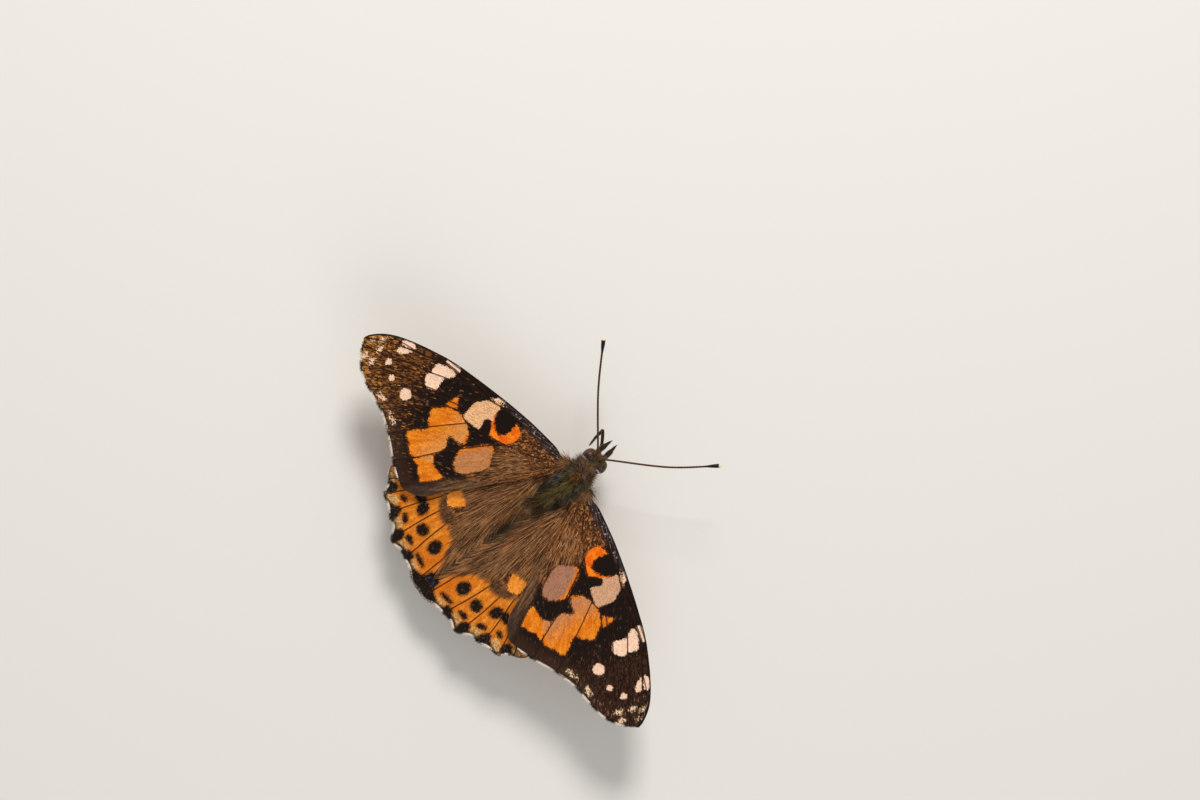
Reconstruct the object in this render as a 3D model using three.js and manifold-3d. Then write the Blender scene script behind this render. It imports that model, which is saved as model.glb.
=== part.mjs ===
// A painted lady butterfly (Vanessa cardui), life size, standing with its wings spread flat.
// Millimetres. +Z is up, the head points to -Y, and the animal's left side is at +X.
// The feet stand on z = 0. The origin is on that level, under the middle of the whole outline.
// Inside the group, x = 0 is the body's own midplane and y = 0 the line between the forewing roots.
import * as THREE from "three";
import { mergeVertices } from "three/addons/utils/BufferGeometryUtils.js";
import Module from "manifold-3d";

const wasm = await Module();
wasm.setup();

// Driving dimensions
const GAP = 0.3; // clear space that neighbouring pieces keep
const WING_THICKNESS = 0.5;
const VEIN_RISE = 0.12; // height of a vein's crest over the membrane, on both faces
const VEIN_HALF_WIDTH = 0.38;
const WING_ROOT_X = 3.3; // from the midplane to the root of the leading edge
const FOREWING_ROOT_Z = 7.5;
const WING_LAYER = WING_THICKNESS + 2 * VEIN_RISE + GAP; // forewing over hindwing
const DIHEDRAL = THREE.MathUtils.degToRad(8);
const SWEEP = THREE.MathUtils.degToRad(24.5); // how far the wings' u axis lies behind square to the body
const TIP_DROOP = 1.0; // how far the apex bends below the wing's plane
const WING_REACH = 30.7; // root to apex, which the droop is measured along
const HEAD_Y = -3.35;
const HEAD_Z = 6.2;
const HEAD_YAW = THREE.MathUtils.degToRad(8); // towards the animal's left
const THORAX_Z = 6.0;
const LEG_SIDES = 8;

const MATERIALS = {
  wing_scales: [0xc8762a, 0.75],
  wing_scales_hind: [0xb87433, 0.75],
  body_fur: [0x5a4a2c, 0.85],
  head_fur: [0x4c3b24, 0.85],
  abdomen_fur: [0x6a4f30, 0.85],
  eye: [0x2b1d14, 0.25],
  feeler: [0x2a1a10, 0.5],
  proboscis: [0x1d120c, 0.4],
  palp: [0x6b5a48, 0.8],
  leg: [0x8a6a45, 0.7],
};
const material = Object.fromEntries(
  Object.entries(MATERIALS).map(([slot, [color, roughness]]) => [
    slot,
    new THREE.MeshStandardMaterial({ color, roughness, metalness: 0 }),
  ]),
);

// Solids

// A closed three.js geometry as a solid that can be joined and cut.
function solid(geometry) {
  const bare = new THREE.BufferGeometry();
  bare.setAttribute("position", geometry.getAttribute("position").clone());
  if (geometry.index) bare.setIndex(geometry.index.clone());
  const merged = mergeVertices(bare, 1e-4);
  return new wasm.Manifold(
    new wasm.Mesh({
      numProp: 3,
      vertProperties: new Float32Array(merged.attributes.position.array),
      triVerts: new Uint32Array(merged.index.array),
    }),
  );
}

// The largest closed piece of a solid, as a geometry.
function geometryOf(made) {
  const largest = made.decompose().sort((a, b) => b.volume() - a.volume())[0];
  const mesh = largest.getMesh();
  return new THREE.BufferGeometry()
    .setAttribute("position", new THREE.BufferAttribute(mesh.vertProperties, 3))
    .setIndex(new THREE.BufferAttribute(mesh.triVerts, 1));
}

const joined = (geometries) => geometryOf(geometries.map(solid).reduce((a, b) => a.add(b)));

// Cuts every cutter, given in the body's frame, out of a placed mesh.
function carve(mesh, cutters) {
  mesh.updateMatrixWorld();
  const toMesh = mesh.matrixWorld.clone().invert();
  const cut = cutters.reduce(
    (rest, cutter) => rest.subtract(solid(cutter.clone().applyMatrix4(toMesh))),
    solid(mesh.geometry),
  );
  mesh.geometry = geometryOf(cut);
  return mesh;
}

// An ovoid about a centre. grow makes it larger all round, for cutting a neighbour clear of it.
function ovoid(centre, half, grow = 0, around = 18, down = 12) {
  return new THREE.SphereGeometry(1, around, down)
    .scale(half[0] + grow, half[1] + grow, half[2] + grow)
    .translate(...centre);
}

// A round limb along a curve. The profile lists [share of the length, radius], from tip to tip.
function limb(points, profile, sides = LEG_SIDES, up = new THREE.Vector3(0, 0, 1)) {
  const curve = new THREE.CatmullRomCurve3(points.map((p) => new THREE.Vector3(...p)));
  const outline = profile.map(([share, radius]) => new THREE.Vector2(radius, share));
  const geometry = new THREE.LatheGeometry(outline, sides);
  const position = geometry.getAttribute("position");
  const v = new THREE.Vector3();
  for (let i = 0; i < position.count; i++) {
    v.fromBufferAttribute(position, i);
    const along = curve.getTangentAt(v.y);
    const side = up.clone().cross(along).normalize();
    const lift = along.clone().cross(side);
    const place = curve.getPointAt(v.y).addScaledVector(side, v.z).addScaledVector(lift, v.x);
    position.setXYZ(i, place.x, place.y, place.z);
  }
  return geometry;
}

function node(name, slot, geometry) {
  const mesh = new THREE.Mesh(geometry, material[slot]);
  mesh.name = name;
  return mesh;
}

const SIDES = { left: 1, right: -1 };
const mirrored = (side, [x, y, z]) => [side * x, y, z];

// Wings
//
// A wing has its own flat frame: u runs from the root to the apex, v from there to the rear.

const FORE_COSTA = [
  [-1.4, 0.2], [0, -0.25], [2, -1.2], [5, -1.97], [10, -2.87], [15, -3.5], [20, -3.75],
  [24, -3.5], [27, -2.95], [29, -2.05], [30.4, -1.1],
];
const FORE_OUTER = [
  [30.4, -1.1], [30.6, -0.2], [30.2, 1.6], [29.2, 3.2], [27.4, 4.8], [25, 6.2], [22.8, 7.9],
  [21, 9.8], [19.4, 11.5], [17.8, 13.0],
];
const FORE_INNER = [
  [17.8, 13.0], [16.4, 13.9], [14.9, 14.0], [13.2, 13.4], [11, 11.7], [7, 8], [3, 4.5],
  [0.6, 2.7], [-1.0, 2.1],
];
const FORE_VEINS = [
  [[0.2, 0.1], [4, -1.3], [9, -2.3], [13, -2.9], [17, -3.4]], // subcosta
  [[0.3, 0.5], [4, -0.5], [8, -1.35], [12, -1.8], [16, -2.3], [20, -2.55], [24, -2.4], [29.6, -1.0]],
  [[20.6, -2.5], [24, -1.6], [27, -0.4], [30, 0.4]],
  [[12, -1.8], [14, -1.6], [18.3, -1.5], [21, -0.9], [25.3, 1.3], [29.2, 2.7]],
  [[14.1, -1.5], [14.3, 0.2], [14.1, 1.7]], // end of the cell
  [[14.3, 0.3], [18, 0.8], [22, 1.7], [26.8, 4.6]],
  [[0.5, 1.2], [4, 1.7], [8, 2.2], [13.2, 2.25], [14.6, 1.6], [17, 1.95], [20.8, 4.1], [23.9, 6.5]],
  [[13.2, 2.25], [17.4, 5.1], [21.2, 8.9]],
  [[7.5, 2.3], [9, 3.1], [12.2, 5.6], [14.5, 7.5], [18.9, 11.3]],
  [[0.4, 1.8], [5, 5.2], [9, 8.4], [13, 11.2], [16.4, 13.3]],
];

const HIND_COSTA = [
  [-0.9, 2.7], [0.6, 2.9], [3.5, 3.4], [8, 4.9], [12.5, 6.9], [16, 8.8], [18.3, 10.6], [18.9, 12.2],
];
const HIND_OUTER = [
  [18.9, 12.2], [18.4, 13.4], [18.2, 14.6], [17.9, 15.8], [16.7, 16.7], [16.2, 17.7], [14.8, 18.9],
  [14.2, 20.1], [13.4, 20.9], [12, 21.4], [11.2, 22.3], [9.9, 23.1], [8.6, 24.2], [7.2, 25],
];
// Distance of the inner margin from the midplane, as [how far back, distance]. It passes the
// abdomen and then meets the other hindwing.
const HIND_INNER = [
  [4.5, 1.2], [4.7, 2.3], [6.3, 2.3], [8, 1.95], [9.5, 1.3], [11, 0.65], [12.4, 0.28], [14.5, 0.16],
];
const HIND_CORNER_X = 0.96; // the outer margin ends this far from the midplane
const HIND_CORNER_BACK = 0.35; // and the inner margin runs this much further back
const HIND_VEINS = [
  [[0.6, 3.3], [5, 5], [10, 6.9], [15, 9.4], [18, 11.6]],
  [[0.7, 3.6], [4, 6], [8, 8.7], [12.5, 10.2], [17.8, 13.2]],
  [[8, 8.7], [9, 10.6], [12.5, 12], [15, 13.6], [17.4, 15.4]],
  [[8.9, 10.5], [8.6, 11.9], [10.6, 12.7], [13.1, 14.8], [15.9, 17.3]],
  [[0.8, 3.9], [3.4, 7.6], [5.6, 11], [7.2, 12.4], [9.8, 13.7], [12.9, 18.9], [13.8, 20]],
  [[5.8, 11.2], [8.2, 14.7], [10.4, 20.3], [11, 21.9]],
  [[4.6, 9.6], [6, 13.5], [6.4, 17.5], [7.7, 22.4], [8.3, 23.9]],
  [[1.6, 5.6], [3.2, 9.5], [4.9, 14], [6.6, 20.4], [7.2, 22.5]],
];

const OUTLINE_STEP = 1.35;
const SCALLOP_STEP = 1.0; // along the hindwing's wavy outer margin
const VEIN_STEP = 1.9;
const VEIN_ROOM = { least: 0.6, edge: 0.5 }; // a crest's least distance from other points and the edge
const FLANK_ROOM = { least: VEIN_HALF_WIDTH * 0.9, edge: 0.45 };
const FILL_ROOM = { least: 1.3, edge: 1.1 };
const FILL_STEP = 3.1;
const FILL_ROW = FILL_STEP * 0.87;

// Points along a smooth curve through the given ones, without the last.
function along(points, step) {
  const curve = new THREE.CatmullRomCurve3(
    points.map(([u, v]) => new THREE.Vector3(u, v, 0)), false, "centripetal",
  );
  const count = Math.max(2, Math.round(curve.getLength() / step));
  return curve.getSpacedPoints(count).slice(0, count).map((p) => [p.x, p.y]);
}

const distance = (p, q) => Math.hypot(p[0] - q[0], p[1] - q[1]);

function toEdge(p, outline) {
  return Math.min(
    ...outline.map((a, i) => {
      const b = outline[(i + 1) % outline.length];
      const length = distance(a, b);
      const share = ((p[0] - a[0]) * (b[0] - a[0]) + (p[1] - a[1]) * (b[1] - a[1])) / length ** 2;
      const t = THREE.MathUtils.clamp(share, 0, 1);
      return distance(p, [a[0] + t * (b[0] - a[0]), a[1] + t * (b[1] - a[1])]);
    }),
  );
}

function inside(p, outline) {
  return outline.reduce((odd, a, i) => {
    const b = outline[(i + 1) % outline.length];
    const crosses = a[1] > p[1] !== b[1] > p[1];
    return crosses && p[0] < a[0] + ((p[1] - a[1]) * (b[0] - a[0])) / (b[1] - a[1]) ? !odd : odd;
  }, false);
}

// Delaunay triangles of points in a plane, each turning left, by adding one point at a time.
function delaunay(points) {
  const far = 1000;
  const all = [...points, [-far, -far], [far, -far], [0, far]];
  const n = points.length;
  const circled = (a, b, c) => {
    const [ax, ay] = all[a];
    const [bx, by] = [all[b][0] - ax, all[b][1] - ay];
    const [cx, cy] = [all[c][0] - ax, all[c][1] - ay];
    const d = 2 * (bx * cy - by * cx);
    const x = (cy * (bx * bx + by * by) - by * (cx * cx + cy * cy)) / d;
    const y = (bx * (cx * cx + cy * cy) - cx * (bx * bx + by * by)) / d;
    return { corners: [a, b, c], centre: [ax + x, ay + y], radius: Math.hypot(x, y) };
  };
  let triangles = [circled(n, n + 1, n + 2)];
  points.forEach((p, i) => {
    const edges = new Map();
    triangles = triangles.filter((t) => {
      if (distance(p, t.centre) >= t.radius) return true;
      const [a, b, c] = t.corners;
      for (const [from, to] of [[a, b], [b, c], [c, a]]) {
        if (!edges.delete(to + "," + from)) edges.set(from + "," + to, [from, to]);
      }
      return false;
    });
    for (const [from, to] of edges.values()) triangles.push(circled(from, to, i));
  });
  return triangles.map((t) => t.corners).filter((t) => t.every((i) => i < n));
}

// Height of the wing's middle surface over its plane.
const camber = (u) => -TIP_DROOP * Math.max(0, u / WING_REACH) ** 2;

// A wing as one closed plate, with its veins raised in both faces.
function wing(outline, veins, side) {
  const points = outline.map(([u, v]) => ({ at: [u, v], rise: 0 }));
  const room = (p, least) => points.every((q) => distance(p, q.at) > least);
  const add = (p, rise, { least, edge }) => {
    if (room(p, least) && inside(p, outline) && toEdge(p, outline) > edge) points.push({ at: p, rise });
  };
  for (const vein of veins) along(vein, VEIN_STEP).forEach((p) => add(p, VEIN_RISE, VEIN_ROOM));
  for (const vein of veins) {
    const path = [...along(vein, VEIN_STEP), vein.at(-1)];
    path.slice(0, -1).forEach((p, i) => {
      const next = path[i + 1];
      const length = distance(p, next);
      const across = [-(next[1] - p[1]) / length, (next[0] - p[0]) / length];
      for (const half of [-VEIN_HALF_WIDTH, VEIN_HALF_WIDTH]) {
        add([p[0] + across[0] * half, p[1] + across[1] * half], 0, FLANK_ROOM);
      }
    });
  }
  const [low, high] = [Math.min, Math.max].map((end) => [0, 1].map((k) => end(...outline.map((p) => p[k]))));
  for (let v = low[1], row = 0; v < high[1]; v += FILL_ROW, row++) {
    const shift = (row % 2) * FILL_STEP * 0.5;
    for (let u = low[0] + shift; u < high[0]; u += FILL_STEP) add([u, v], 0, FILL_ROOM);
  }
  const flat = points.map((p) => p.at);
  const middle = (t) => [0, 1].map((k) => (flat[t[0]][k] + flat[t[1]][k] + flat[t[2]][k]) / 3);
  const top = delaunay(flat).filter((t) => inside(middle(t), outline));
  const count = points.length;
  const vertices = [1, -1].flatMap((face) =>
    points.flatMap(({ at: [u, v], rise }) => [
      side * u, v, camber(u) + face * (WING_THICKNESS / 2 + rise),
    ]),
  );
  const rim = outline.length;
  const faces = [
    ...top,
    ...top.map(([a, b, c]) => [c + count, b + count, a + count]),
    ...outline.flatMap((_, i) => {
      const next = (i + 1) % rim;
      return [[next, i, i + count], [next, i + count, next + count]];
    }),
  ];
  const turned = side > 0 ? faces : faces.map(([a, b, c]) => [c, b, a]);
  return new THREE.BufferGeometry()
    .setAttribute("position", new THREE.Float32BufferAttribute(vertices, 3))
    .setIndex(turned.flat());
}

function foreOutline() {
  return [
    ...along(FORE_COSTA, OUTLINE_STEP),
    ...along(FORE_OUTER, OUTLINE_STEP),
    ...along(FORE_INNER, OUTLINE_STEP),
    FORE_INNER.at(-1),
  ];
}

// The hindwing's inner margin is given from the midplane, and brought into the wing's frame here.
function hindOutline() {
  const [cos, sin] = [Math.cos(SWEEP), Math.sin(SWEEP)];
  const bodyX = ([u, v]) => WING_ROOT_X + (u * cos - v * sin) * Math.cos(DIHEDRAL);
  const inWing = ([y, x]) => {
    const out = (x - WING_ROOT_X) / Math.cos(DIHEDRAL);
    return [out * cos + y * sin, y * cos - out * sin];
  };
  const outer = along(HIND_OUTER, SCALLOP_STEP).filter((p) => bodyX(p) > HIND_CORNER_X);
  const [u, v] = outer.at(-1);
  const [, meeting] = HIND_INNER.at(-1);
  const corner = [u * sin + v * cos + HIND_CORNER_BACK, meeting];
  const inner = [corner, ...[...HIND_INNER].reverse()].map(inWing);
  return [...along(HIND_COSTA, OUTLINE_STEP), ...outer, ...along(inner, OUTLINE_STEP), inner.at(-1)];
}

function wings(name, sideName, outline, veins, slot, layer, thorax) {
  const side = SIDES[sideName];
  const mesh = node(name + "_" + sideName, slot, wing(outline, veins, side));
  mesh.rotation.set(0, -side * DIHEDRAL, side * SWEEP, "YXZ");
  mesh.position.set(side * WING_ROOT_X, 0, FOREWING_ROOT_Z);
  mesh.translateZ(-layer);
  return carve(mesh, thorax);
}

// Body

// The thorax: its main ovoid, the neck's collar and the hump over the waist
const TRUNK = { at: [0, 1.3, THORAX_Z], half: [2.55, 3.1, 2.4] };
const COLLAR = { at: [0.1, -1.1, THORAX_Z + 0.1], half: [1.5, 1.1, 1.5] };
const REAR_HUMP = { at: [0, 3.6, THORAX_Z - 0.2], half: [2.05, 1.4, 1.85] };
const TEGULA = { at: [2.3, -0.1, 7.35], half: [0.62, 0.95, 0.5] };
const COXAE = { midleg: [1.2, 0.8, 3.95], hindleg: [1.1, 3.2, 3.95] };
const COXA_HALF = [0.62, 0.72, 0.95];

// The thorax as a list of ovoids, larger all round by grow.
function thoraxParts(grow = 0) {
  const pair = (at, half) => [1, -1].map((side) => ovoid(mirrored(side, at), half, grow, 12, 8));
  return [
    ovoid(TRUNK.at, TRUNK.half, grow, 22, 14),
    ovoid(COLLAR.at, COLLAR.half, grow, 16, 10),
    ovoid(REAR_HUMP.at, REAR_HUMP.half, grow, 16, 10),
    ...pair(TEGULA.at, TEGULA.half),
    ...Object.values(COXAE).flatMap((at) => pair(at, COXA_HALF)),
  ];
}

// Abdomen: rings along an axis that sinks towards the tip, out of the wings' way.
const ABDOMEN_START = [0, 4.6, 5.75];
const ABDOMEN_END = [0, 15.2, 1.75];
const ABDOMEN_BEND_Z = 3.95;
const ABDOMEN_WAIST = 1.1;
const ABDOMEN_GIRTH = 1.75;
const ABDOMEN_RINGS = 8;
const RING_STEP = 0.07; // how much a ring's rear edge stands over the next ring
const FIRST_RING = 0.02; // the rings' share of the abdomen's length, from here
const LAST_RING = 0.95; // to here
const RING_SEAM = 0.012;
const WIDEST = 0.35; // the share at which the abdomen is widest
const TAPER = 1.25; // radians of the cosine that narrows it from there to the tip

function abdomen() {
  const swell = (t) =>
    t < WIDEST
      ? THREE.MathUtils.lerp(ABDOMEN_WAIST, ABDOMEN_GIRTH, Math.sin((t / WIDEST) * (Math.PI / 2)))
      : ABDOMEN_GIRTH * Math.cos(((t - WIDEST) / (1 - WIDEST)) * TAPER);
  const profile = [[0, 0]];
  for (let ring = 0; ring < ABDOMEN_RINGS; ring++) {
    const from = THREE.MathUtils.lerp(FIRST_RING, LAST_RING, ring / ABDOMEN_RINGS);
    const to = THREE.MathUtils.lerp(FIRST_RING, LAST_RING, (ring + 1) / ABDOMEN_RINGS) - RING_SEAM;
    profile.push([from, swell(from) - RING_STEP], [(from + to) / 2, swell((from + to) / 2)]);
    profile.push([to, swell(to) + RING_STEP]);
  }
  profile.push([0.97, 0.42], [1, 0]);
  const bend = [0, (ABDOMEN_START[1] + ABDOMEN_END[1]) / 2, ABDOMEN_BEND_Z];
  return limb([ABDOMEN_START, bend, ABDOMEN_END], profile, 16);
}

// Head, in its own frame about its centre, looking to -Y
const HEAD_X = 0.38; // the head is carried a little to the animal's left
const SKULL = { at: [0, 0.1, 0], half: [1.15, 1.4, 1.3] };
const FACE = { at: [0, -0.75, -0.5], half: [0.75, 0.85, 0.8] };
const SOCKET_HALF = [0.4, 0.42, 0.42];
const SOCKET_SHIFT = [0, 0.2, -0.3]; // from a feeler's root to the middle of its socket
const EYE_AT = [0.86, -0.2, 0.1];
const EYE_HALF = [1.05, 1.15, 1.2];
const EYE_FROM = 0.74; // an eye is the part of its ovoid that lies further out than this
const EYE_BLOCK = [4, 6, 6]; // a box that takes in the rest of the ovoid
const PALP_PATH = [[0.6, -1.15, -0.5], [0.6, -2.2, -0.1], [0.42, -3.45, 0.75]];
const PALP_PROFILE = [[0, 0], [0.04, 0.3], [0.35, 0.42], [0.62, 0.4], [0.86, 0.25], [1, 0]];
const FEELER_ROOT = [0.5, -0.75, 1.25];
const FEELER_RISE = [0.85, -1.35, 1.8];
const FEELER_TIP = { left: [11.4, -11.9, 4.6], right: [11.7, -11.8, 4.6] };
const FEELER_BOW = { left: 0.5, right: -0.8 }; // how far the middle bows to the animal's left
const FEELER_PROFILE = [
  [0, 0], [0.004, 0.34], [0.025, 0.36], [0.045, 0.26], [0.2, 0.25], [0.4, 0.25], [0.6, 0.25],
  [0.78, 0.25], [0.88, 0.27], [0.93, 0.42], [0.97, 0.46], [0.992, 0.3], [1, 0],
];
const PROBOSCIS_KNEE = [2.1, -3.8, -1.0];
const PROBOSCIS_BASE = [[0.1, -1.2, -1.2], [1.0, -2.7, -1.25], PROBOSCIS_KNEE];
const PROBOSCIS_TIP = [[2.1, -3.55, -1.55], [1.95, -2.6, -3.1], [1.6, -1.6, -5.45]];
const TUBE_PROFILE = [[0, 0], [0.02, 0.24], [0.5, 0.27], [0.98, 0.25], [1, 0]];
const TAPER_PROFILE = [[0, 0], [0.03, 0.27], [0.5, 0.26], [0.95, 0.16], [1, 0]];

// An eye's cap. grow makes it larger all round, towards the head's middle too.
function eyeCap(side, grow = 0) {
  const ball = solid(ovoid(mirrored(side, EYE_AT), EYE_HALF, grow, 20, 14));
  const blockX = EYE_FROM - grow - EYE_BLOCK[0] / 2;
  const middle = new THREE.BoxGeometry(...EYE_BLOCK).translate(side * blockX, 0, 0);
  return geometryOf(ball.subtract(solid(middle)));
}

function skullParts(grow = 0) {
  const sockets = [1, -1].map((side) => {
    const at = mirrored(side, FEELER_ROOT).map((value, k) => value + SOCKET_SHIFT[k]);
    return ovoid(at, SOCKET_HALF, grow, 10, 8);
  });
  return [ovoid(SKULL.at, SKULL.half, grow, 20, 14), ovoid(FACE.at, FACE.half, grow, 14, 10), ...sockets];
}

function feeler(sideName) {
  const [root, rise, tip] = [FEELER_ROOT, FEELER_RISE, FEELER_TIP[sideName]].map((p) =>
    mirrored(SIDES[sideName], p));
  const halfway = rise.map((value, k) => (value + tip[k]) / 2);
  halfway[0] += FEELER_BOW[sideName];
  return limb([root, rise, halfway, tip], FEELER_PROFILE, 8);
}

function placedHead(grownThorax) {
  const head = new THREE.Group();
  head.position.set(HEAD_X, HEAD_Y, HEAD_Z);
  head.rotation.z = HEAD_YAW;
  const sides = Object.entries(SIDES);
  const eyes = sides.map(([sideName, side]) => node("eye_" + sideName, "eye", eyeCap(side)));
  const palps = sides.map(([sideName, side]) =>
    node("palp_" + sideName, "palp", limb(PALP_PATH.map((p) => mirrored(side, p)), PALP_PROFILE, 10)));
  const feelers = sides.map(([sideName]) => node("antenna_" + sideName, "feeler", feeler(sideName)));
  const skull = node("head", "head_fur", joined(skullParts()));
  const base = node("proboscis_base", "proboscis", limb(PROBOSCIS_BASE, TUBE_PROFILE, 8));
  const tip = node("proboscis_tip", "proboscis", limb(PROBOSCIS_TIP, TAPER_PROFILE, 8));
  head.add(skull, ...eyes, ...palps, ...feelers, base, tip);
  head.updateMatrixWorld();
  const inBody = (geometry) => geometry.applyMatrix4(head.matrixWorld);
  const grownEyes = Object.values(SIDES).map((side) => inBody(eyeCap(side, GAP)));
  const grownSkull = skullParts(GAP).map(inBody);
  carve(skull, [...grownThorax, ...grownEyes]);
  for (const mesh of [...palps, ...feelers, base]) carve(mesh, [...grownSkull, ...grownEyes]);
  return head;
}

// Legs: each walking leg's joints, from the coxa to the end of the foot, for the left side.
const LEGS = {
  midleg: { hip: COXAE.midleg, knee: [5.1, 1.0, 5.3], ankle: [8.0, 2.0, 0.75], toe: [11.0, 3.9, 0.3] },
  hindleg: { hip: COXAE.hindleg, knee: [4.3, 7.0, 5.0], ankle: [6.6, 11.3, 0.75], toe: [8.7, 15.0, 0.3] },
};
const FEMUR_PROFILE = [[0, 0], [0.02, 0.34], [0.3, 0.48], [0.75, 0.4], [0.97, 0.3], [1, 0]];
const TIBIA_PROFILE = [[0, 0], [0.02, 0.28], [0.3, 0.3], [0.8, 0.28], [0.97, 0.26], [1, 0]];
const FOOT_JOINTS = 5;
const FOOT_HEIGHT = 0.26; // of the foot's axis over the floor
const FOOT_RADIUS = 0.27;
const SOLE_DEPTH = 0.06; // how much of a foot's round underside is cut flat
const HEEL_REACH = 0.9; // from the ankle to where the foot lies flat
const THIGH_BEND = 2.5; // from the hip to the point that shapes the thigh's curve
// The small front legs are held under the breast and don't walk.
const BRUSH_PATH = [[0.85, -0.9, 4.1], [1.2, -2.3, 3.7], [1.05, -3.7, 4.0]];
const BRUSH_PROFILE = [[0, 0], [0.03, 0.26], [0.4, 0.36], [0.8, 0.34], [0.97, 0.2], [1, 0]];

// A point the given distance from a towards b.
function towards(a, b, reach) {
  const from = new THREE.Vector3(...a);
  return from.addScaledVector(new THREE.Vector3(...b).sub(from).normalize(), reach).toArray();
}

// A foot lies along the floor: its lower side is flat, at z = 0.
function foot(ankle, toe) {
  const profile = [[0, 0], [0.03, FOOT_RADIUS * 0.9]];
  for (let joint = 1; joint < FOOT_JOINTS; joint++) {
    const share = joint / FOOT_JOINTS;
    profile.push([share - 0.03, FOOT_RADIUS], [share + 0.02, FOOT_RADIUS * 0.84]);
  }
  profile.push([0.95, FOOT_RADIUS], [1, 0]);
  const [heelEnd, toeEnd] = [ankle, toe].map(([x, y]) => [x, y, FOOT_HEIGHT]);
  const geometry = limb([ankle, towards(heelEnd, toeEnd, HEEL_REACH), toeEnd], profile);
  const floor = new THREE.BoxGeometry(30, 30, 2).translate(toe[0], toe[1], SOLE_DEPTH - 1);
  return geometryOf(solid(geometry).subtract(solid(floor))).translate(0, 0, -SOLE_DEPTH);
}

function legs(thorax) {
  const made = [];
  for (const [sideName, side] of Object.entries(SIDES)) {
    for (const [name, joints] of Object.entries(LEGS)) {
      const [hip, knee, ankle, toe] = ["hip", "knee", "ankle", "toe"].map((j) => mirrored(side, joints[j]));
      const label = name + "_" + sideName;
      const thigh = [hip, towards(hip, knee, THIGH_BEND), knee];
      const femur = node(label + "_femur", "leg", limb(thigh, FEMUR_PROFILE));
      const shin = [towards(knee, ankle, GAP + 0.1), ankle];
      const shinMiddle = shin[0].map((value, k) => (value + shin[1][k]) / 2);
      const tibia = node(label + "_tibia", "leg", limb([shin[0], shinMiddle, shin[1]], TIBIA_PROFILE));
      const start = towards(ankle, toe, GAP);
      made.push(carve(femur, thorax), tibia, node(label + "_tarsus", "leg", foot(start, toe)));
    }
    const brush = limb(BRUSH_PATH.map((p) => mirrored(side, p)), BRUSH_PROFILE);
    made.push(carve(node("foreleg_" + sideName, "leg", brush), thorax));
  }
  return made;
}

// The whole animal

const animal = new THREE.Group();
const grownThorax = thoraxParts(GAP);
animal.add(node("thorax", "body_fur", joined(thoraxParts())));
animal.add(carve(node("abdomen", "abdomen_fur", abdomen()), grownThorax));
for (const sideName of Object.keys(SIDES)) {
  animal.add(
    wings("forewing", sideName, foreOutline(), FORE_VEINS, "wing_scales", 0, grownThorax),
    wings("hindwing", sideName, hindOutline(), HIND_VEINS, "wing_scales_hind", WING_LAYER, grownThorax),
  );
}
animal.add(placedHead(grownThorax), ...legs(grownThorax));

animal.updateMatrixWorld(true);
const outline = new THREE.Box3().setFromObject(animal, true);
const centre = outline.getCenter(new THREE.Vector3());
animal.position.set(-centre.x, -centre.y, 0);

const part = new THREE.Group();
part.add(animal);

export default part;
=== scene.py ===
# %% [markdown]
# A painted lady butterfly, dressed over its construction model.
#
# The construction model gives every piece its place and size. This script makes the looks: wings
# as thin as a leaf with their real pattern, a furry body, eyes, feelers, tongue and legs. Each
# small step has a few sentences first on what the real thing is like and why it is made this way.

import math

import bpy
import numpy as np
from mathutils import Matrix, Vector


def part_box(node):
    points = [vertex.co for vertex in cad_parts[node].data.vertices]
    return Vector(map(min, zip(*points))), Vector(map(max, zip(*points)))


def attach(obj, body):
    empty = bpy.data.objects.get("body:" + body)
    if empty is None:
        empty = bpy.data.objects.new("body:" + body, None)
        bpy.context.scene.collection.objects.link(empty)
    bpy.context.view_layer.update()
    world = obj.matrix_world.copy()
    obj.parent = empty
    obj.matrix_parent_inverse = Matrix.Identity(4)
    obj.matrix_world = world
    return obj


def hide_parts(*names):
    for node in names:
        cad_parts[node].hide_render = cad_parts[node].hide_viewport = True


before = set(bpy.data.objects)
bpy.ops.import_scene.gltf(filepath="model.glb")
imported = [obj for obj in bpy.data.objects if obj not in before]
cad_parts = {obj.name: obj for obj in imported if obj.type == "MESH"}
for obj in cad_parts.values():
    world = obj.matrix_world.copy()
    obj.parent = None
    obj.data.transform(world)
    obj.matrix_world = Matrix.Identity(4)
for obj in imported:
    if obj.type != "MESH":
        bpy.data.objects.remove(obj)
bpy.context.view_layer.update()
print("construction model:", len(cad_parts), "nodes")

# %% [markdown]
# The animal is a few centimetres across, and its parts are fractions of a millimetre. Blender's
# tools have thresholds made for larger things, so every piece is modelled in millimetres, with
# one Blender unit for each, and is scaled down to metres when it is finished. The body's own
# origin lies on the floor under the line between the forewing roots. The thorax tells where that
# is, because its sides are alike and its rear end is a known distance behind that line.

# %% Units and the body's place
MM = 0.001
THORAX_REAR = 5.0  # behind the line between the wing roots, in mm
thorax_low, thorax_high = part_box("thorax")
body_origin = Vector(((thorax_low.x + thorax_high.x) / 2, thorax_high.y - THORAX_REAR * MM, 0))
TO_ROW = Matrix.Translation(body_origin) @ Matrix.Scale(MM, 4)
SIDES = {"left": 1, "right": -1}
SEED = 1794  # starts the random draws, so that every run gives the same animal
rng = np.random.default_rng(SEED)
print("body origin in metres:", [round(value, 5) for value in body_origin])

# %% [markdown]
# Operators act on whatever is selected, so each one starts from a clean selection. These helpers
# do that, apply a modifier and mirror a place to the other side. The last one finishes a piece: it
# brings it from millimetres to its place, lets it ride on the body, names it and hides the nodes of
# the construction model that it stands for.

# %% Modelling helpers
def deselect():
    if bpy.context.object and bpy.context.object.mode != "OBJECT":
        bpy.ops.object.mode_set(mode="OBJECT")
    bpy.ops.object.select_all(action="DESELECT")


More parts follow.
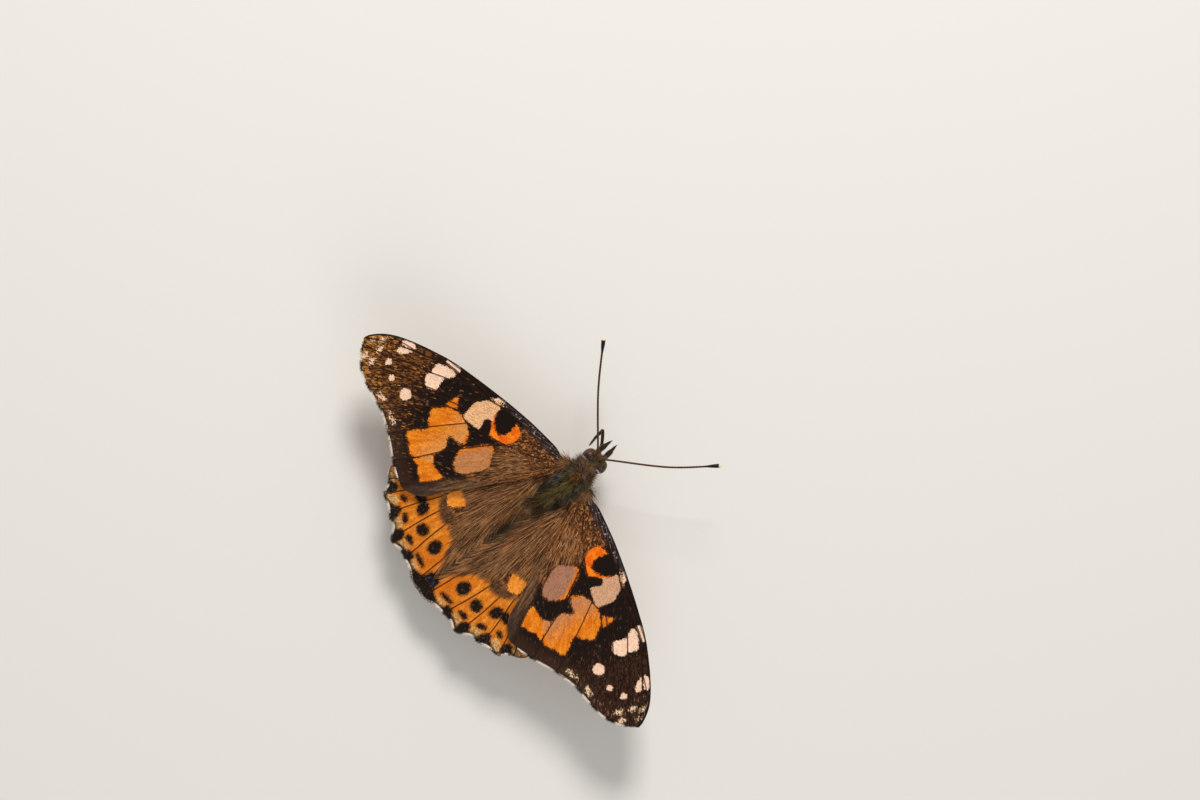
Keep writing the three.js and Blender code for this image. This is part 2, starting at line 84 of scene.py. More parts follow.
def pick(*objects):
    """Selects these objects alone. The first one is the active one."""
    deselect()
    for thing in objects:
        thing.select_set(True)
    bpy.context.view_layer.objects.active = objects[0]
    return objects[0]


def modify(thing, kind, **settings):
    """Adds a modifier and applies it."""
    pick(thing)
    modifier = thing.modifiers.new(kind.title(), kind)
    for name, value in settings.items():
        setattr(modifier, name, value)
    bpy.ops.object.modifier_apply(modifier=modifier.name)


def smooth(thing, angle):
    pick(thing)
    bpy.ops.object.shade_smooth_by_angle(angle=math.radians(angle))


def on_side(place, side):
    """A place that is given for the left side, or its mirror image on the right."""
    return (side * place[0], *place[1:])


def join(name, *things):
    whole = pick(*things)
    if len(things) > 1:
        bpy.ops.object.join()
    whole.name = whole.data.name = name
    return whole


def apply_place(thing):
    pick(thing)
    bpy.ops.object.transform_apply(location=True, rotation=True, scale=True)


def finish_piece(thing, name, nodes, materials, place=TO_ROW):
    apply_place(thing)
    thing.data.transform(place)
    if place.determinant() < 0:  # mirrored
        thing.data.flip_normals()
    thing.name = thing.data.name = name
    slots = thing.data.materials  # a wing already has two empty ones
    for number, material in enumerate(materials):
        if number < len(slots):
            slots[number] = material
        else:
            slots.append(material)
    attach(thing, "root")
    if nodes:
        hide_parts(*nodes)
    thing.data.calc_loop_triangles()
    print(name, len(thing.data.loop_triangles), "triangles")


# %% [markdown]
# Finishes are built from shader nodes. Written as nodes, a sum of two masks is unreadable, so a
# socket is wrapped in a small class whose operators add the Math nodes: `1 - mask * 2` then does
# what it says.

# %% Shader expressions
class Signal:
    """An output socket. Arithmetic on it adds Math nodes."""

    def __init__(self, finish, socket):
        self.finish, self.socket = finish, socket

    def math(self, operation, *values):
        return self.finish.node("Math", {"operation": operation}, values)

    def __add__(self, other):
        return self.math("ADD", self, other)

    def __sub__(self, other):
        return self.math("SUBTRACT", self, other)

    def __rsub__(self, other):
        return self.math("SUBTRACT", other, self)

    def __mul__(self, other):
        return self.math("MULTIPLY", self, other)

    def __pow__(self, other):
        return self.math("POWER", self, other)

    __radd__, __rmul__ = __add__, __mul__

    def largest(self, other):
        return self.math("MAXIMUM", self, other)

    def step(self, low, high):
        """0 below low, 1 above high and a smooth rise between."""
        settings = {"interpolation_type": "SMOOTHSTEP"}
        values = {"Value": self, "From Min": low, "From Max": high}
        return self.finish.node("MapRange", settings, values)

    def band(self, middle, half, soft):
        """1 within half of the middle, 0 further out."""
        away = self.math("ABSOLUTE", self - middle)
        return 1 - away.step(half - soft, half + soft)


print("a signal's own methods:", [name for name in vars(Signal) if not name.startswith("_")])

# %% [markdown]
# A finish holds a material and makes its nodes. One method adds any node, and the others are short
# names for the kinds that come back, such as noise, a blend of colours or a bump. A colour is
# written with its values on a screen, 0 to 255, and `tone` turns it into the shares of light that
# nodes count in.

# %% A finish and its nodes
class Finish:
    """A material with one Principled BSDF, and its nodes."""

    def __init__(self, name, **constants):
        self.material = bpy.data.materials.new(name)
        self.material.use_nodes = True
        self.tree = self.material.node_tree
        self.shader = self.tree.nodes["Principled BSDF"]
        for socket, value in constants.items():
            self.shader.inputs[socket.replace("_", " ")].default_value = value

    def node(self, kind, settings=None, values=(), output=0):
        """Adds a node. Settings come first, then the values or signals of its inputs."""
        made = self.tree.nodes.new("ShaderNode" + kind)
        for name, value in (settings or {}).items():
            setattr(made, name, value)
        pairs = values.items() if isinstance(values, dict) else enumerate(values)
        for key, value in pairs:
            if isinstance(value, Signal):
                self.tree.links.new(value.socket, made.inputs[key])
            else:
                made.inputs[key].default_value = value
        return Signal(self, made.outputs[output])

    def field(self, name):
        """A number that the mesh carries at each point."""
        return self.node("Attribute", {"attribute_name": name}, output="Fac")

    def place(self):
        """Where a point lies, in millimetres from the frame's origin."""
        return self.stretched(self.node("TexCoord", output="Object"), (1 / MM, 1 / MM, 1 / MM))

    def axis(self, vector, number):
        return self.node("SeparateXYZ", values=[vector], output=number)

    def vector(self, x, y, z=0.0):
        return self.node("CombineXYZ", values=[x, y, z])

    def stretched(self, vector, scale):
        return self.node("VectorMath", {"operation": "MULTIPLY"}, [vector, scale])

    def noise(self, vector, scale, detail=2.0, roughness=0.5):
        values = {"Vector": vector, "Scale": scale, "Detail": detail, "Roughness": roughness}
        return self.node("TexNoise", None, values, "Fac")

    def cells(self, vector, scale, output="Distance"):
        return self.node("TexVoronoi", None, {"Vector": vector, "Scale": scale}, output)

    def mix(self, share, below, above):
        """Blends two colours. The share is how much of the second shows."""
        pair = [colour if isinstance(colour, Signal) else tone(*colour) for colour in (below, above)]
        return self.node("Mix", {"data_type": "RGBA"}, {0: share, 6: pair[0], 7: pair[1]}, 2)

    def layered(self, colour, *layers):
        """A ground colour under layers, each with the share of it that shows."""
        for share, layer in layers:
            colour = self.mix(share, colour, layer)
        return colour

    def shaded(self, colour, light):
        """A colour made lighter or darker by a number."""
        settings = {"data_type": "RGBA", "blend_type": "MULTIPLY"}
        return self.node("Mix", settings, {0: 1.0, 6: colour, 7: self.vector(light, light, light)}, 2)

    def bump(self, height, distance, strength):
        """Makes the light fall as on a rough surface. The distance is in metres."""
        return self.node("Bump", None, {"Height": height, "Distance": distance, "Strength": strength})

    def feed(self, **signals):
        for socket, signal in signals.items():
            self.tree.links.new(signal.socket, self.shader.inputs[socket.replace("_", " ")])
        return self.material


def tone(red, green, blue):
    """A colour from its values on a screen, 0 to 255, as shader nodes take it."""
    def linear(value):
        value /= 255
        return value / 12.92 if value <= 0.04045 else ((value + 0.055) / 1.055) ** 2.4
    return (linear(red), linear(green), linear(blue), 1.0)


print("orange on a screen and as nodes take it:", (208, 114, 24), tone(208, 114, 24))

# %% [markdown]
# Outlines are drawn as a few points, and a Catmull-Rom curve through them gives the round
# stretches between. The same function closes a patch of the pattern or leaves a vein open. How far
# a point lies from such a line is found by trying each of its short straight pieces.

# %% Curves through points
def between(before, start, end, after, t):
    """The point at share t of the way from start to end, on a smooth curve through all four."""
    bend = 2 * start + (end - before) * t + (2 * before - 5 * start + 4 * end - after) * t * t
    return (bend + (3 * start - before - 3 * end + after) * t**3) / 2


def curve(points, step=0.3, closed=False):
    """Evenly spread points on a smooth curve through the given ones."""
    given = np.array(points, float)
    if closed:
        before, after = given[[-1]], given[[0, 1]]
    else:
        before, after = given[[0]] * 2 - given[[1]], given[[-1]] * 2 - given[[-2]]
    run = np.vstack([before, given, after])
    made = []
    for a, b, c, d in zip(run, run[1:], run[2:], run[3:]):
        count = max(1, round(np.linalg.norm(c - b) / step))
        made += [between(a, b, c, d, t) for t in np.arange(count) / count]
    if not closed:
        made.append(given[-1])
    return np.array(made)


def nearest_on(line, points, closed=False):
    """Each point's nearest place on a line through the given corners, and how far away it is."""
    ends = np.roll(line, -1, axis=0) if closed else line[1:]
    starts = line if closed else line[:-1]
    nearest, places = np.full(len(points), np.inf), points.copy()
    for start, end in zip(starts, ends):
        along = end - start
        share = np.clip((points - start) @ along / max(along @ along, 1e-12), 0, 1)[:, None]
        gap = ((points - start - share * along) ** 2).sum(axis=1)
        closer = gap < nearest
        nearest[closer] = gap[closer]
        places[closer] = start + share[closer] * along
    return places, np.sqrt(nearest)


def line_distance(points, line, closed=False):
    return nearest_on(line, points, closed)[1]


def depth_inside(points, outline):
    """Distance to a closed outline, positive inside it and negative outside."""
    inside = np.zeros(len(points), bool)
    x, y = points.T
    for (x0, y0), (x1, y1) in zip(outline, np.roll(outline, -1, axis=0)):
        if y0 != y1:
            crossing = x0 + (y - y0) * (x1 - x0) / (y1 - y0)
            inside ^= ((y0 > y) != (y1 > y)) & (x < crossing)
    return np.where(inside, 1, -1) * line_distance(points, outline, closed=True)


print("a bent line through 3 points has", len(curve([(0, 0), (3, 0), (3, 3)])))

# %% [markdown]
# A wing is drawn flat, in millimetres: u runs from its root to the apex and v from there towards
# the rear. The scales fringe the outer margin, so the membrane stops short of the outline there
# by the fringe's length. Both wings of a pair are drawn once and placed twice.

# %% Wing outlines
FRINGE = 0.4
MARGIN_STEP = 0.35
TAPER = 8  # the margin is drawn in by less over the first and the last of this many parts
FORE_COSTA = [
    (-1.6, 0.1), (0, -0.25), (1, -0.8), (2, -1.15), (4, -1.66), (6, -2.12), (8, -2.48), (10, -2.8),
    (12, -3.06), (14, -3.3), (16, -3.5), (18, -3.68), (20, -3.72), (22, -3.6), (24, -3.42), (26, -3.12),
    (27.5, -2.75), (28.6, -2.3), (29.5, -1.75), (30.3, -1.1),
]
FORE_MARGIN = [
    (30.3, -1.1), (30.75, -0.5), (30.6, 0), (30.3, 0.9), (30.15, 1.6), (29.8, 2.3), (29.4, 3), (28.7, 3.75),
    (27.6, 4.6), (26.4, 5.35), (25, 6.15), (24, 6.75), (23.1, 7.5), (22.2, 8.3), (21.5, 9.1),
    (20.7, 9.9), (19.9, 10.9), (18.8, 12.1), (17.6, 13.05), (16.5, 13.8),
]
FORE_INNER = [
    (16.5, 13.8), (15.9, 14.0), (14.9, 13.95), (14.1, 13.8), (13.2, 13.45), (12.3, 12.75),
    (11, 11.65), (9, 9.95), (5, 6.5), (0.8, 3.2), (-1.6, 3.0),
]
HIND_COSTA = [
    (-1.7, 1.6), (0.5, 2.2), (3.5, 3.3), (8, 5), (12.5, 7), (16, 8.9), (18.2, 10.7), (18.85, 12.2),
]
HIND_MARGIN = [
    (18.85, 12.2), (18.8, 13.2), (18.3, 13.9), (18.05, 14.8), (18.1, 15.6), (17.6, 16.3), (16.7, 16.9),
    (16.1, 17.7), (15.6, 18.35), (14.75, 18.8), (14.35, 19.8), (14.05, 20.6), (13.3, 21.1), (12.2, 21.15),
    (11.5, 21.75), (10.5, 22.3), (9.7, 22.9), (8.9, 23.9), (8, 24.4), (7.1, 24.5), (6.6, 23.7), (6.3, 22.6),
]
HIND_INNER = [
    (6.3, 22.6), (5.5, 20.4), (3.8, 16.6), (2.45, 13.6), (1.1, 11.0), (0.1, 8.6), (-0.4, 6.6), (-0.9, 4.6),
]


def unit(vectors):
    return vectors / np.maximum(np.linalg.norm(vectors, axis=-1, keepdims=True), 1e-9)


def inward(margin):
    """The way to the wing's inside at each point of a margin."""
    along = np.gradient(margin, axis=0)
    return unit(np.stack([-along[:, 1], along[:, 0]], axis=1))


def drawn_in(margin, reach):
    """The margin moved towards the wing by the reach, less near its ends."""
    fine = curve(margin, MARGIN_STEP)
    share = np.minimum(1, np.linspace(0, TAPER, len(fine)))
    share = np.minimum(share, share[::-1])
    return fine + inward(fine) * (reach * share)[:, None]


def membrane(costa, margin, inner):
    return np.vstack([curve(costa)[:-1], drawn_in(margin, FRINGE)[:-1], curve(inner)])


fore_outline = membrane(FORE_COSTA, FORE_MARGIN, FORE_INNER)
hind_outline = membrane(HIND_COSTA, HIND_MARGIN, HIND_INNER)
print("forewing", fore_outline.max(axis=0) - fore_outline.min(axis=0), "mm")

# %% [markdown]
# Veins stiffen the membrane like the ribs of an umbrella. The long ones start at the root, and
# most of the others leave the closed cell in the wing's middle. They are drawn as open lines.

# %% Veins
FORE_VEINS = {
    "subcosta": [(0, -0.1), (4, -1.3), (9, -2.35), (13, -3.0), (16.4, -3.5)],
    "first branch": [(11.5, -2.0), (15, -2.9), (18, -3.4), (20.4, -3.7)],
    "second branch": [(15.5, -2.45), (19, -3.1), (23.6, -3.45)],
    "radius": [(0.5, 0.2), (3.5, -0.6), (7, -1.4), (10, -1.8), (13, -1.9), (17.5, -2.75), (20, -2.9),
               (22, -2.6), (24, -2.35), (26, -1.95), (28.5, -1.3), (30.5, -0.6)],
    "third branch": [(23.5, -2.45), (26, -2.5), (28.3, -2.45)],
    "fifth branch": [(13, -1.9), (15, -2.2), (18.4, -1.5), (21, -1.0), (25.5, -0.4), (30.3, 0.6)],
    "cell end": [(13, -1.9), (13.6, -1.1), (14.1, 0.1), (14.5, 1.5)],
    "first median": [(13.7, -0.8), (17, 0.2), (21, 0.95), (25.5, 1.55), (29.5, 2.8)],
    "second median": [(14.2, 0.7), (17.5, 1.0), (20, 1.4), (22.5, 2.1), (24, 3), (27.3, 4.8)],
    "cubitus": [(0.6, 0.9), (4, 1.75), (7, 2.15), (10, 2.3), (13.3, 2.25), (14.5, 1.55), (15.2, 1.45),
                (16.3, 1.62), (17.4, 2.1), (20.6, 4.1), (24.2, 6.6)],
    "third cubital": [(13.3, 2.25), (17.0, 4.95), (19.6, 6.95), (21.7, 8.9)],
    "second cubital": [(7.5, 2.3), (8.8, 3.0), (12, 5.4), (14.2, 7.1), (17, 9.7), (19.4, 11.5)],
    "fold": [(9, 5.4), (13.8, 9.0), (16.2, 11.2)],
    "anal": [(0.5, 1.6), (5, 5.0), (8.5, 7.6), (11.7, 10.15), (14.7, 12.4), (16.8, 13.5)],
}
HIND_VEINS = {
    "costal": [(0.6, 3.3), (5, 5.0), (10, 6.9), (15, 9.5), (18.5, 12)],
    "radial": [(0.7, 3.6), (4, 6), (8, 8.7), (12.5, 10.3), (18.2, 13.7)],
    "first median": [(8, 8.7), (9.2, 10.2), (11.5, 12.8), (13.2, 14.5), (14.85, 16.4), (15.7, 18.1)],
    "upper median": [(9.2, 10.2), (12.6, 12.1), (15.2, 13.7), (17.5, 15.6)],
    "cell end": [(9.2, 10.2), (8.9, 11.3), (7.4, 11.6)],
    "third median": [(7.4, 11.6), (8.9, 12.6), (10.25, 14.0), (11.9, 16.7), (13.1, 19.05), (13.7, 20.6)],
    "first cubital": [(6.2, 10.4), (7.4, 12.4), (8.6, 15.05), (9.7, 17.85), (10.5, 20.25), (11.2, 21.8)],
    "cubitus": [(0.9, 3.9), (3.6, 7.4), (6.2, 10.4), (7.4, 11.6)],
    "second cubital": [(4.4, 8.4), (5.6, 12), (6.3, 15.8), (6.45, 18.65), (7.05, 20.5), (7.9, 22.7),
                       (8.6, 23.8)],
    "anal": [(1.1, 4.7), (2.6, 8.6), (4.2, 12.6), (5.6, 16.6), (6.3, 20.3), (6.9, 23.6)],
}
print("veins on a forewing and a hindwing:", len(FORE_VEINS), len(HIND_VEINS))

# %% [markdown]
# The wing's colours are patches of scales with sharp but ragged edges. A painted vertex would
# blur them, so each point of the mesh carries its distance to a patch's edge instead. That number
# changes evenly, even between far points, and the finish cuts it at zero wherever the camera is.
# Each list holds patches of one colour.

# %% The forewing's upper pattern
FORE_PATCHES = {
    "orange": [
        [(6.25, 0.1), (6.8, -0.5), (7.4, -0.95), (8.6, -1.2), (9.8, -1.2), (10.7, -0.5), (10.6, 0.2),
         (10.2, 1.4), (9.95, 2.15), (9, 2.25), (8.1, 2.25), (7.1, 1.9), (6.6, 1.2)],
        [(15.4, 1.4), (15.8, 0.5), (16.05, -0.15), (16.5, 0.6), (16.85, 1.45), (16.3, 1.6)],
        [(13.5, 2.3), (14.5, 1.7), (15.5, 1.6), (16.55, 1.8), (17.5, 2.4), (18.15, 3.1), (18.05, 3.85),
         (17.85, 4.6), (17.3, 5.3), (17.9, 6.1), (18.5, 6.3), (19.5, 7.2), (19.1, 7.85), (18.5, 8.3),
         (18.05, 9.1), (17.5, 9.6), (17.0, 9.65), (15.6, 8.5), (14.4, 7.3), (14.15, 6.5), (14.3, 5.75),
         (14.45, 5.0), (14.0, 4.85), (13.4, 5.0), (12.6, 4.95), (12.1, 4.6), (12.3, 3.6), (12.95, 2.7)],
        [(8.1, 4.2), (8.4, 3.4), (8.9, 3.15), (9.4, 3.3), (10.7, 4.4), (12.05, 5.45), (12.3, 5.95),
         (12.2, 7.05), (11.95, 7.95), (11.3, 8.4), (10.35, 8.35), (9.65, 7.85), (8.75, 7.05),
         (8.1, 6.3), (7.7, 5.65), (7.95, 4.95)],
        [(12.5, 10.2), (13.1, 9.75), (14, 9.4), (14.6, 8.8), (14.85, 8.2), (15.4, 8.45), (17, 9.9),
         (16.6, 10.15), (15.95, 10.3), (15.6, 11.1), (15.1, 11.5), (14.7, 11.95), (13.8, 11.5)],
    ],
    "cream": [
        [(10.4, -1.6), (11.25, -1.85), (12.25, -1.75), (13.1, -1.2), (13.8, -0.5), (14.0, 0.4), (14.1, 1.3),
         (14.3, 1.6), (13.5, 2.05), (12.3, 2.15), (11.45, 2.1), (11.35, 1.4), (11.4, 0.7), (10.75, 0.35),
         (10.4, 0.3), (10.7, -0.5)],
        [(10.2, -2.05), (11.2, -2.35), (12.3, -2.2), (12.1, -2.0), (11.2, -2.0)],
    ],
    "white": [
        [(9.7, -2.55), (10.9, -2.78), (11.6, -2.4), (10.8, -2.4)],
        [(17.55, -3.05), (17.85, -3.6), (19.65, -3.62), (19.95, -3.25), (18.8, -2.92), (17.65, -2.8)],
        [(17.8, -2.5), (19.2, -2.72), (20.5, -2.5), (20.75, -1.95), (20.7, -1.25), (20, -1.2),
         (18.4, -1.62)],
        [(18.9, -1.25), (20.4, -1.05), (21.15, -0.6), (20.9, 0.25), (20.35, 0.8), (19.6, 0.75),
         (18.9, 0.4), (19.1, -0.3)],
        [(24.1, -2.75), (24.5, -3.1), (25.9, -2.95), (25.9, -2.3), (24.6, -2.35)],
        [(24.3, -2.15), (25.9, -1.9), (25.95, -1.15), (25.3, -1.3), (24.6, -1.8)],
        [(25.8, 0.5), (26.2, 0.1), (26.7, 0.45), (26.35, 1.0)],
        [(24.55, 2.0), (24.9, 1.75), (25.25, 2.2), (24.95, 2.6), (24.6, 2.4)],
        [(21.4, 3.3), (21.75, 2.55), (22.5, 2.4), (22.95, 2.9), (22.75, 3.6), (22.1, 3.95)],
    ],
    "black": [
        [(7.55, -1.0), (7.65, 0), (7.9, 0.8), (8.45, 1.25), (8.95, 1.55), (9.3, 1.3), (9.9, 0.8),
         (10.3, 0.1), (10.45, -0.65), (10.3, -1.45), (9.5, -1.8), (8.55, -1.6)],
        [(10.05, 2.15), (10.2, 1.3), (10.6, 0.65), (11.0, 0.45), (11.4, 0.65), (11.4, 1.4),
         (11.35, 2.15), (10.7, 2.3)],
    ],
    "fleck": [  # pale marks along the margin and near the apex
        [(28.1, -2.0), (28.5, -1.7), (28.7, -1.0), (28.3, -1.1)],
        [(27.9, -0.8), (28.2, -0.7), (28.35, 0.2), (28.0, 0.25)],
        [(28.0, 1.0), (28.4, 1.2), (28.3, 2.2), (27.95, 2.2)],
        [(24.2, 5.05), (25.2, 4.65), (25.35, 5.0), (24.5, 5.4)],
        [(21.4, 7.1), (22.2, 6.4), (22.9, 6.0), (22.4, 6.7), (21.7, 7.3)],
        [(29.3, -1.3), (29.7, -0.9), (29.6, -0.4), (29.3, -0.8)],
        [(29.3, 0.9), (29.6, 1.2), (29.4, 1.8), (29.1, 1.5)],
    ],
    "root": [  # the brown root, strewn with tawny scales
        [(-2, 0.4), (0.8, 0.4), (3, -0.3), (6, -1.1), (6.7, -0.4), (6.3, 0.4), (6.9, 1.7), (8.0, 2.5),
         (8.1, 3.5), (7.8, 4.9), (7.7, 6.0), (8.6, 7.3), (9.8, 8.3), (9.2, 8.9), (7.4, 8.2), (5, 6.7),
         (0.5, 2.6), (-2, 2.6)],
    ],
    # the strip's lilac-grey comes from painted sheen in streaks over its dark scales
    "gloss": [  # the lilac-grey strip behind the leading edge
        [(-0.6, 0.1), (1, -0.6), (3, -1.2), (6, -1.98), (9, -2.55), (10.3, -2.75), (10.1, -2.3),
         (8.3, -1.75), (6, -1.25), (3.5, -0.4), (1.5, 0.2), (0, 0.5)],
    ],
    "rear": [  # the grey-brown strip along the inner margin
        [(6.4, 7.3), (8.2, 7.9), (10, 9.1), (12.3, 10.6), (14.5, 12.4), (15.6, 13.2), (15.9, 14.2),
         (14, 14.1), (12, 12.8), (9.2, 10.6), (6.4, 8.2)],
    ],
}

print(sum(map(len, FORE_PATCHES.values())), "patches on a forewing")

# %% [markdown]
# The hindwing's orange band holds a row of round spots, with two rows of smaller marks between it
# and the margin. They are ovals, so a few numbers each are enough, and one function draws them.
# The blocks at the rear corner and the brown inner part are drawn as on the forewing.

# %% The hindwing's upper pattern
HIND_SPOTS = [  # black spots: u, v, half length, half width and turn in degrees
    (13.25, 13.8, 0.8, 0.62, 0), (12.3, 14.95, 0.98, 0.72, 90), (10.85, 17.35, 0.82, 0.8, 0),
    (8.3, 18.55, 1.0, 0.85, 70), (15.2, 15.05, 0.5, 0.3, -20), (13.7, 17.15, 0.7, 0.32, -55),
    (11.75, 19.3, 0.66, 0.34, -35), (9.1, 21.0, 1.05, 0.28, -35), (17.4, 14.6, 0.85, 0.7, 30),
    (15.4, 17.3, 1.1, 0.72, 75), (13.5, 19.8, 1.15, 0.75, 70), (11.0, 21.4, 0.95, 0.8, 40),
    (8.8, 23.2, 1.1, 0.75, -10), (6.75, 22.4, 0.75, 0.6, 0), (16.2, 16.75, 0.5, 0.28, 30),
    (12.4, 20.9, 0.55, 0.25, -10),
]


def oval(u, v, length, width, turn):
    """Twelve corners round an oval."""
    angle = np.radians(np.arange(0, 360, 30))
    spin = math.radians(turn)
    x, y = length * np.cos(angle), width * np.sin(angle)
    return [(u + a * math.cos(spin) - b * math.sin(spin), v + a * math.sin(spin) + b * math.cos(spin))
            for a, b in zip(x, y)]


HIND_PATCHES = {
    "black": [
        *(oval(*spot) for spot in HIND_SPOTS),
        [(6.0, 21.7), (7.0, 21.6), (7.7, 22.6), (8.8, 22.9), (9.0, 23.9), (7.6, 24.7), (6.5, 24.1),
         (6.1, 22.8)],
    ],
    "cream": [  # ochre crescents between the spots at the margin
        [(15.6, 15.6), (16.3, 15.3), (17.0, 15.6), (17.6, 16.1), (16.8, 16.3), (16.1, 16.6), (15.8, 16.2)],
        [(13.6, 18.2), (14.3, 17.3), (14.8, 17.9), (15.2, 18.3), (14.6, 18.7), (14.1, 18.6)],
        [(11.6, 20.3), (12.3, 19.8), (12.9, 20.3), (12.9, 20.8), (12.2, 20.9), (11.7, 20.9)],
        [(9.2, 21.9), (9.9, 21.4), (10.2, 22.0), (9.9, 22.6), (9.4, 22.8)],
        [(17.0, 13.2), (17.7, 12.7), (18.4, 12.9), (18.3, 13.8), (17.8, 13.9)],
    ],
    "root": [  # brown, hairy inner part, which the orange band borders
        [(-2, 2), (4, 3), (9, 5.5), (14, 8), (18, 11), (17.6, 12.2), (14, 11.4), (11.4, 11.2),
         (10.8, 12.3), (10.75, 13.2), (10.4, 13.9), (10.0, 14.6), (9.5, 15.1), (8.7, 15.25),
         (7.7, 15.1), (7.0, 15.6), (6.5, 16.3), (6.35, 17.8), (6.15, 19.5), (5.95, 22.0), (4, 21),
         (-2, 9)],
    ],
    "orange": [
        [(7.6, 11.5), (8.2, 10.7), (9.0, 10.15), (9.7, 10.6), (10.4, 11.4), (10.2, 12.1), (9.7, 12.85),
         (8.9, 12.7), (8.0, 12.3)],
    ],
    "shadow": [  # darker smudges beside the orange square
        [(9.7, 12.6), (10.5, 12.3), (10.9, 12.9), (10.3, 14), (9.3, 14.9), (8.2, 14.8), (8.0, 13.6),
         (9.2, 13.2)],
    ],
    "blue": [oval(6.8, 22.3, 0.34, 0.2, 0)],
}
print(sum(map(len, HIND_PATCHES.values())), "patches on a hindwing")

# %% [markdown]
# The underside is what a resting painted lady shows: rosy orange at the forewing's root, and a
# marbled net of cream, brown and olive on the hindwing, with pale veins and a row of small
# eyespots. The photo doesn't show it, so its marks come from the species.

# %% The underside's pattern
FORE_UNDER = {
    "cream": FORE_PATCHES["cream"] + FORE_PATCHES["white"],
    "black": [
        *FORE_PATCHES["black"],
        [(14.2, -2.2), (17, -2.9), (18.2, -2), (18.6, 0.2), (19.5, 1.6), (17.6, 1.8), (16.2, 0.6),
         (14.6, 0.4)],
        [(12.4, 5.5), (13.9, 5.2), (13.9, 7.0), (16.6, 9.9), (13.9, 9.3), (12.6, 9.5), (11.4, 8.6),
         (12.4, 7.2)],
        [(19.0, 4.0), (20.4, 4.4), (20.2, 6.4), (18.8, 8.6), (17.6, 10.4), (18.0, 8.0), (18.4, 6.0)],
    ],
    "apex": [[(20.4, -3.9), (31.5, -4), (31.5, 4), (24, 8), (21, 8.6), (21.2, 5), (22.2, 2), (21.4, -0.6)]],
}
UNDER_EYESPOTS = [  # u, v and radius
    (14.9, 12.6, 0.85), (14.0, 14.5, 0.5), (12.4, 16.4, 0.6), (10.9, 18.1, 1.0), (8.3, 19.8, 0.7),
]
HIND_UNDER_BLOTCHES = [
    [(2, 4.6), (5, 5.4), (6.4, 7.2), (5, 8.2), (3, 7.2)],
    [(7.6, 6.4), (10.4, 7.4), (10.6, 9.2), (8.4, 8.4)],
    [(3.6, 9.2), (5.8, 9.6), (6.4, 12), (5.2, 13)],
    [(9.8, 10.4), (12.4, 10.2), (13.2, 12), (11.4, 12.4), (10, 11.8)],
    [(6.8, 12.8), (9, 12.4), (10.4, 14.6), (8.6, 16.2), (7.2, 15)],
    [(12.8, 8.2), (15.6, 9.6), (16.8, 11.4), (14.4, 11), (13, 9.8)],
    [(1.4, 8.6), (2.6, 9), (4.2, 13.8), (5.4, 18.6), (4.2, 17), (2.2, 12)],
]
print(len(UNDER_EYESPOTS), "eyespots under each hindwing")

# %% [markdown]
# The wing itself could be one face cut to the outline, but then nothing on it could bend or carry
# a pattern. A fine grid is used instead: its squares outside the outline are deleted, and its
# border points are pulled onto the outline, so that the edge is smooth.

# %% A flat sheet in the wing's outline
SHEET_STEP = 0.125
OUTSIDE = 0.12 * SHEET_STEP  # a corner this deep inside still counts as outside


def carried(mesh, name, values):
    """Gives each point of a mesh a number that finishes can read."""
    attribute = mesh.attributes.new(name, "FLOAT", "POINT")
    attribute.data.foreach_set("value", np.asarray(values, np.float32))


def points_of(mesh):
    places = np.empty(len(mesh.vertices) * 3)
    mesh.vertices.foreach_get("co", places)
    return places.reshape(-1, 3)


def numbers_of(parts, name, each=1):
    """The whole numbers that faces or corners of a mesh have, so many each."""
    values = np.empty(len(parts) * each, int)
    parts.foreach_get(name, values)
    return values


def flat_wing(name, outline):
    """A fine grid inside the outline."""
    low, high = outline.min(axis=0) - 0.3, outline.max(axis=0) + 0.3
    counts = np.ceil((high - low) / SHEET_STEP).astype(int)
    middle = (low + high) / 2
    deselect()
    bpy.ops.mesh.primitive_grid_add(x_subdivisions=int(counts[0]), y_subdivisions=int(counts[1]), size=1)
    sheet = bpy.context.object
    sheet.scale = (*(high - low), 1)
    sheet.location = (*middle, 0)
    apply_place(sheet)
    mesh = sheet.data
    places = points_of(mesh)
    depth = depth_inside(places[:, :2], outline)
    corners = numbers_of(mesh.polygons, "vertices", 4).reshape(-1, 4)
    outside = (depth[corners] < OUTSIDE).sum(axis=1) > 2
    bpy.ops.object.mode_set(mode="EDIT")
    bpy.ops.mesh.select_mode(type="FACE")
    bpy.ops.mesh.select_all(action="DESELECT")
    bpy.ops.object.mode_set(mode="OBJECT")
    mesh.polygons.foreach_set("select", outside)
    bpy.ops.object.mode_set(mode="EDIT")
    bpy.ops.mesh.delete(type="FACE")
    bpy.ops.mesh.select_mode(type="VERT")
    bpy.ops.mesh.select_non_manifold()
    bpy.ops.object.mode_set(mode="OBJECT")
    places = points_of(mesh)
    rim = np.empty(len(mesh.vertices), bool)
    mesh.vertices.foreach_get("select", rim)
    places[rim, :2], _ = nearest_on(outline, places[rim, :2], closed=True)
    mesh.vertices.foreach_set("co", places.ravel())
    sheet.name = mesh.name = name
    return sheet


print("grid step:", SHEET_STEP, "mm")

# %% [markdown]
# Each point of the sheet gets its distances: to the edge, to the nearest vein and to the patches.
# The relief comes from the same numbers. The veins stand up, the panels between them sag a little
# and the edge ripples, which catches the light as on the real wing.

# %% Distances and relief
FIELD_REACH = 2.0  # distances to patches are kept up to here, in mm
VEIN_REACH = 3.0
VEIN_STEP = 0.6
VEIN_WIDTH = 0.13
VEIN_HEIGHT = 0.085
SAG = 0.13  # of the panels between the veins
SAG_WIDTH = 1.3
RIPPLE = 0.05  # along the edge
RIPPLE_REACH = 1.5
TIP_DROOP = 1.0
WING_REACH = 30.7


